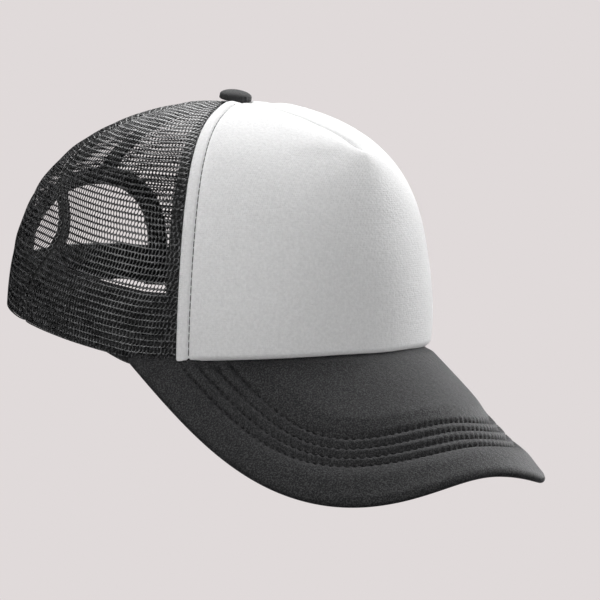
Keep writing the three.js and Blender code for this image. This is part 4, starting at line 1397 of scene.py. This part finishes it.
CAMERA = {"azimuth": -45.573, "elevation": 11.372, "roll": 7.61, "distance": 1.23919,
          "aim": (0.04192, 0, 0.01527), "lens": 165.63, "sensor": 36}
BACKGROUND = (0.7454, 0.7011, 0.7011)
FLOOR = {"reach": 20, "level": -1.6}
LIGHT_AIM = Vector((0, -0.02, 0.05))
LIGHT_DISTANCE, LIGHT_SIZE = 2.0, 1.2
# Each light's name, azimuth and elevation in degrees, and watts.
LIGHTS = (("left", -110, 10, 17), ("front", -30, 8, 16), ("front_right", 30, 8, 5), ("right", 90, 8, 25),
          ("right_high", 90, 45, 18), ("behind", 150, 40, 28), ("overhead", 180, 70, 23),
          ("below", 150, -35, 6))


def direction(azimuth, elevation):
    a, e = math.radians(azimuth), math.radians(elevation)
    return Vector((math.sin(a) * math.cos(e), -math.cos(a) * math.cos(e), math.sin(e)))


def add_camera():
    data = bpy.data.cameras.new("camera")
    data.lens, data.sensor_width, data.sensor_fit = CAMERA["lens"], CAMERA["sensor"], "HORIZONTAL"
    data.clip_start, data.clip_end = 0.05, 50
    camera = bpy.data.objects.new("camera", data)
    bpy.context.scene.collection.objects.link(camera)
    back = direction(CAMERA["azimuth"], CAMERA["elevation"])
    right = Vector((0, 0, 1)).cross(back).normalized()
    up = back.cross(right)
    turn = math.radians(CAMERA["roll"])
    across = right * math.cos(turn) + up * math.sin(turn)
    upright = up * math.cos(turn) - right * math.sin(turn)
    axes = Matrix((across, upright, back)).transposed().to_4x4()
    place = Vector(CAMERA["aim"]) + back * CAMERA["distance"]
    camera.matrix_world = Matrix.Translation(place) @ axes
    bpy.context.scene.camera = camera


def add_light(name, azimuth, elevation, power):
    data = bpy.data.lights.new("light_" + name, "AREA")
    data.shape, data.size, data.energy = "DISK", LIGHT_SIZE, power
    light = bpy.data.objects.new("light_" + name, data)
    light.location = LIGHT_AIM + direction(azimuth, elevation) * LIGHT_DISTANCE
    light.rotation_euler = direction(azimuth, elevation).to_track_quat("Z", "Y").to_euler()
    bpy.context.scene.collection.objects.link(light)


def add_stage():
    """A plain pale floor far below the cap, which hangs as on a stand, and the same tone behind it."""
    shade = bpy.data.materials.new("studio_tone")
    shade.use_nodes = True
    tree = shade.node_tree
    tree.nodes.remove(tree.nodes["Principled BSDF"])
    glow = tree.nodes.new("ShaderNodeEmission")
    glow.inputs["Color"].default_value = (*BACKGROUND, 1)
    tree.links.new(glow.outputs[0], tree.nodes["Material Output"].inputs["Surface"])
    square = FLOOR["reach"] * np.array([(-1, -1), (1, -1), (1, 1), (-1, 1)])
    corners = [(x, y, FLOOR["level"]) for x, y in square]
    mesh = bpy.data.meshes.new("floor")
    mesh.from_pydata(corners, [], [(0, 1, 2, 3)])
    mesh.materials.append(shade)
    floor = bpy.data.objects.new("floor", mesh)
    floor.visible_diffuse = floor.visible_glossy = floor.visible_shadow = False
    bpy.context.scene.collection.objects.link(floor)
    world = bpy.data.worlds.new("studio")
    world.use_nodes = True
    world.node_tree.nodes["Background"].inputs["Color"].default_value = (*BACKGROUND, 1)
    world.cycles_visibility.diffuse = world.cycles_visibility.glossy = False
    bpy.context.scene.world = world


add_camera()
add_stage()
for name, azimuth, elevation, power in LIGHTS:
    add_light(name, azimuth, elevation, power)
bpy.context.scene.view_settings.view_transform = "Standard"
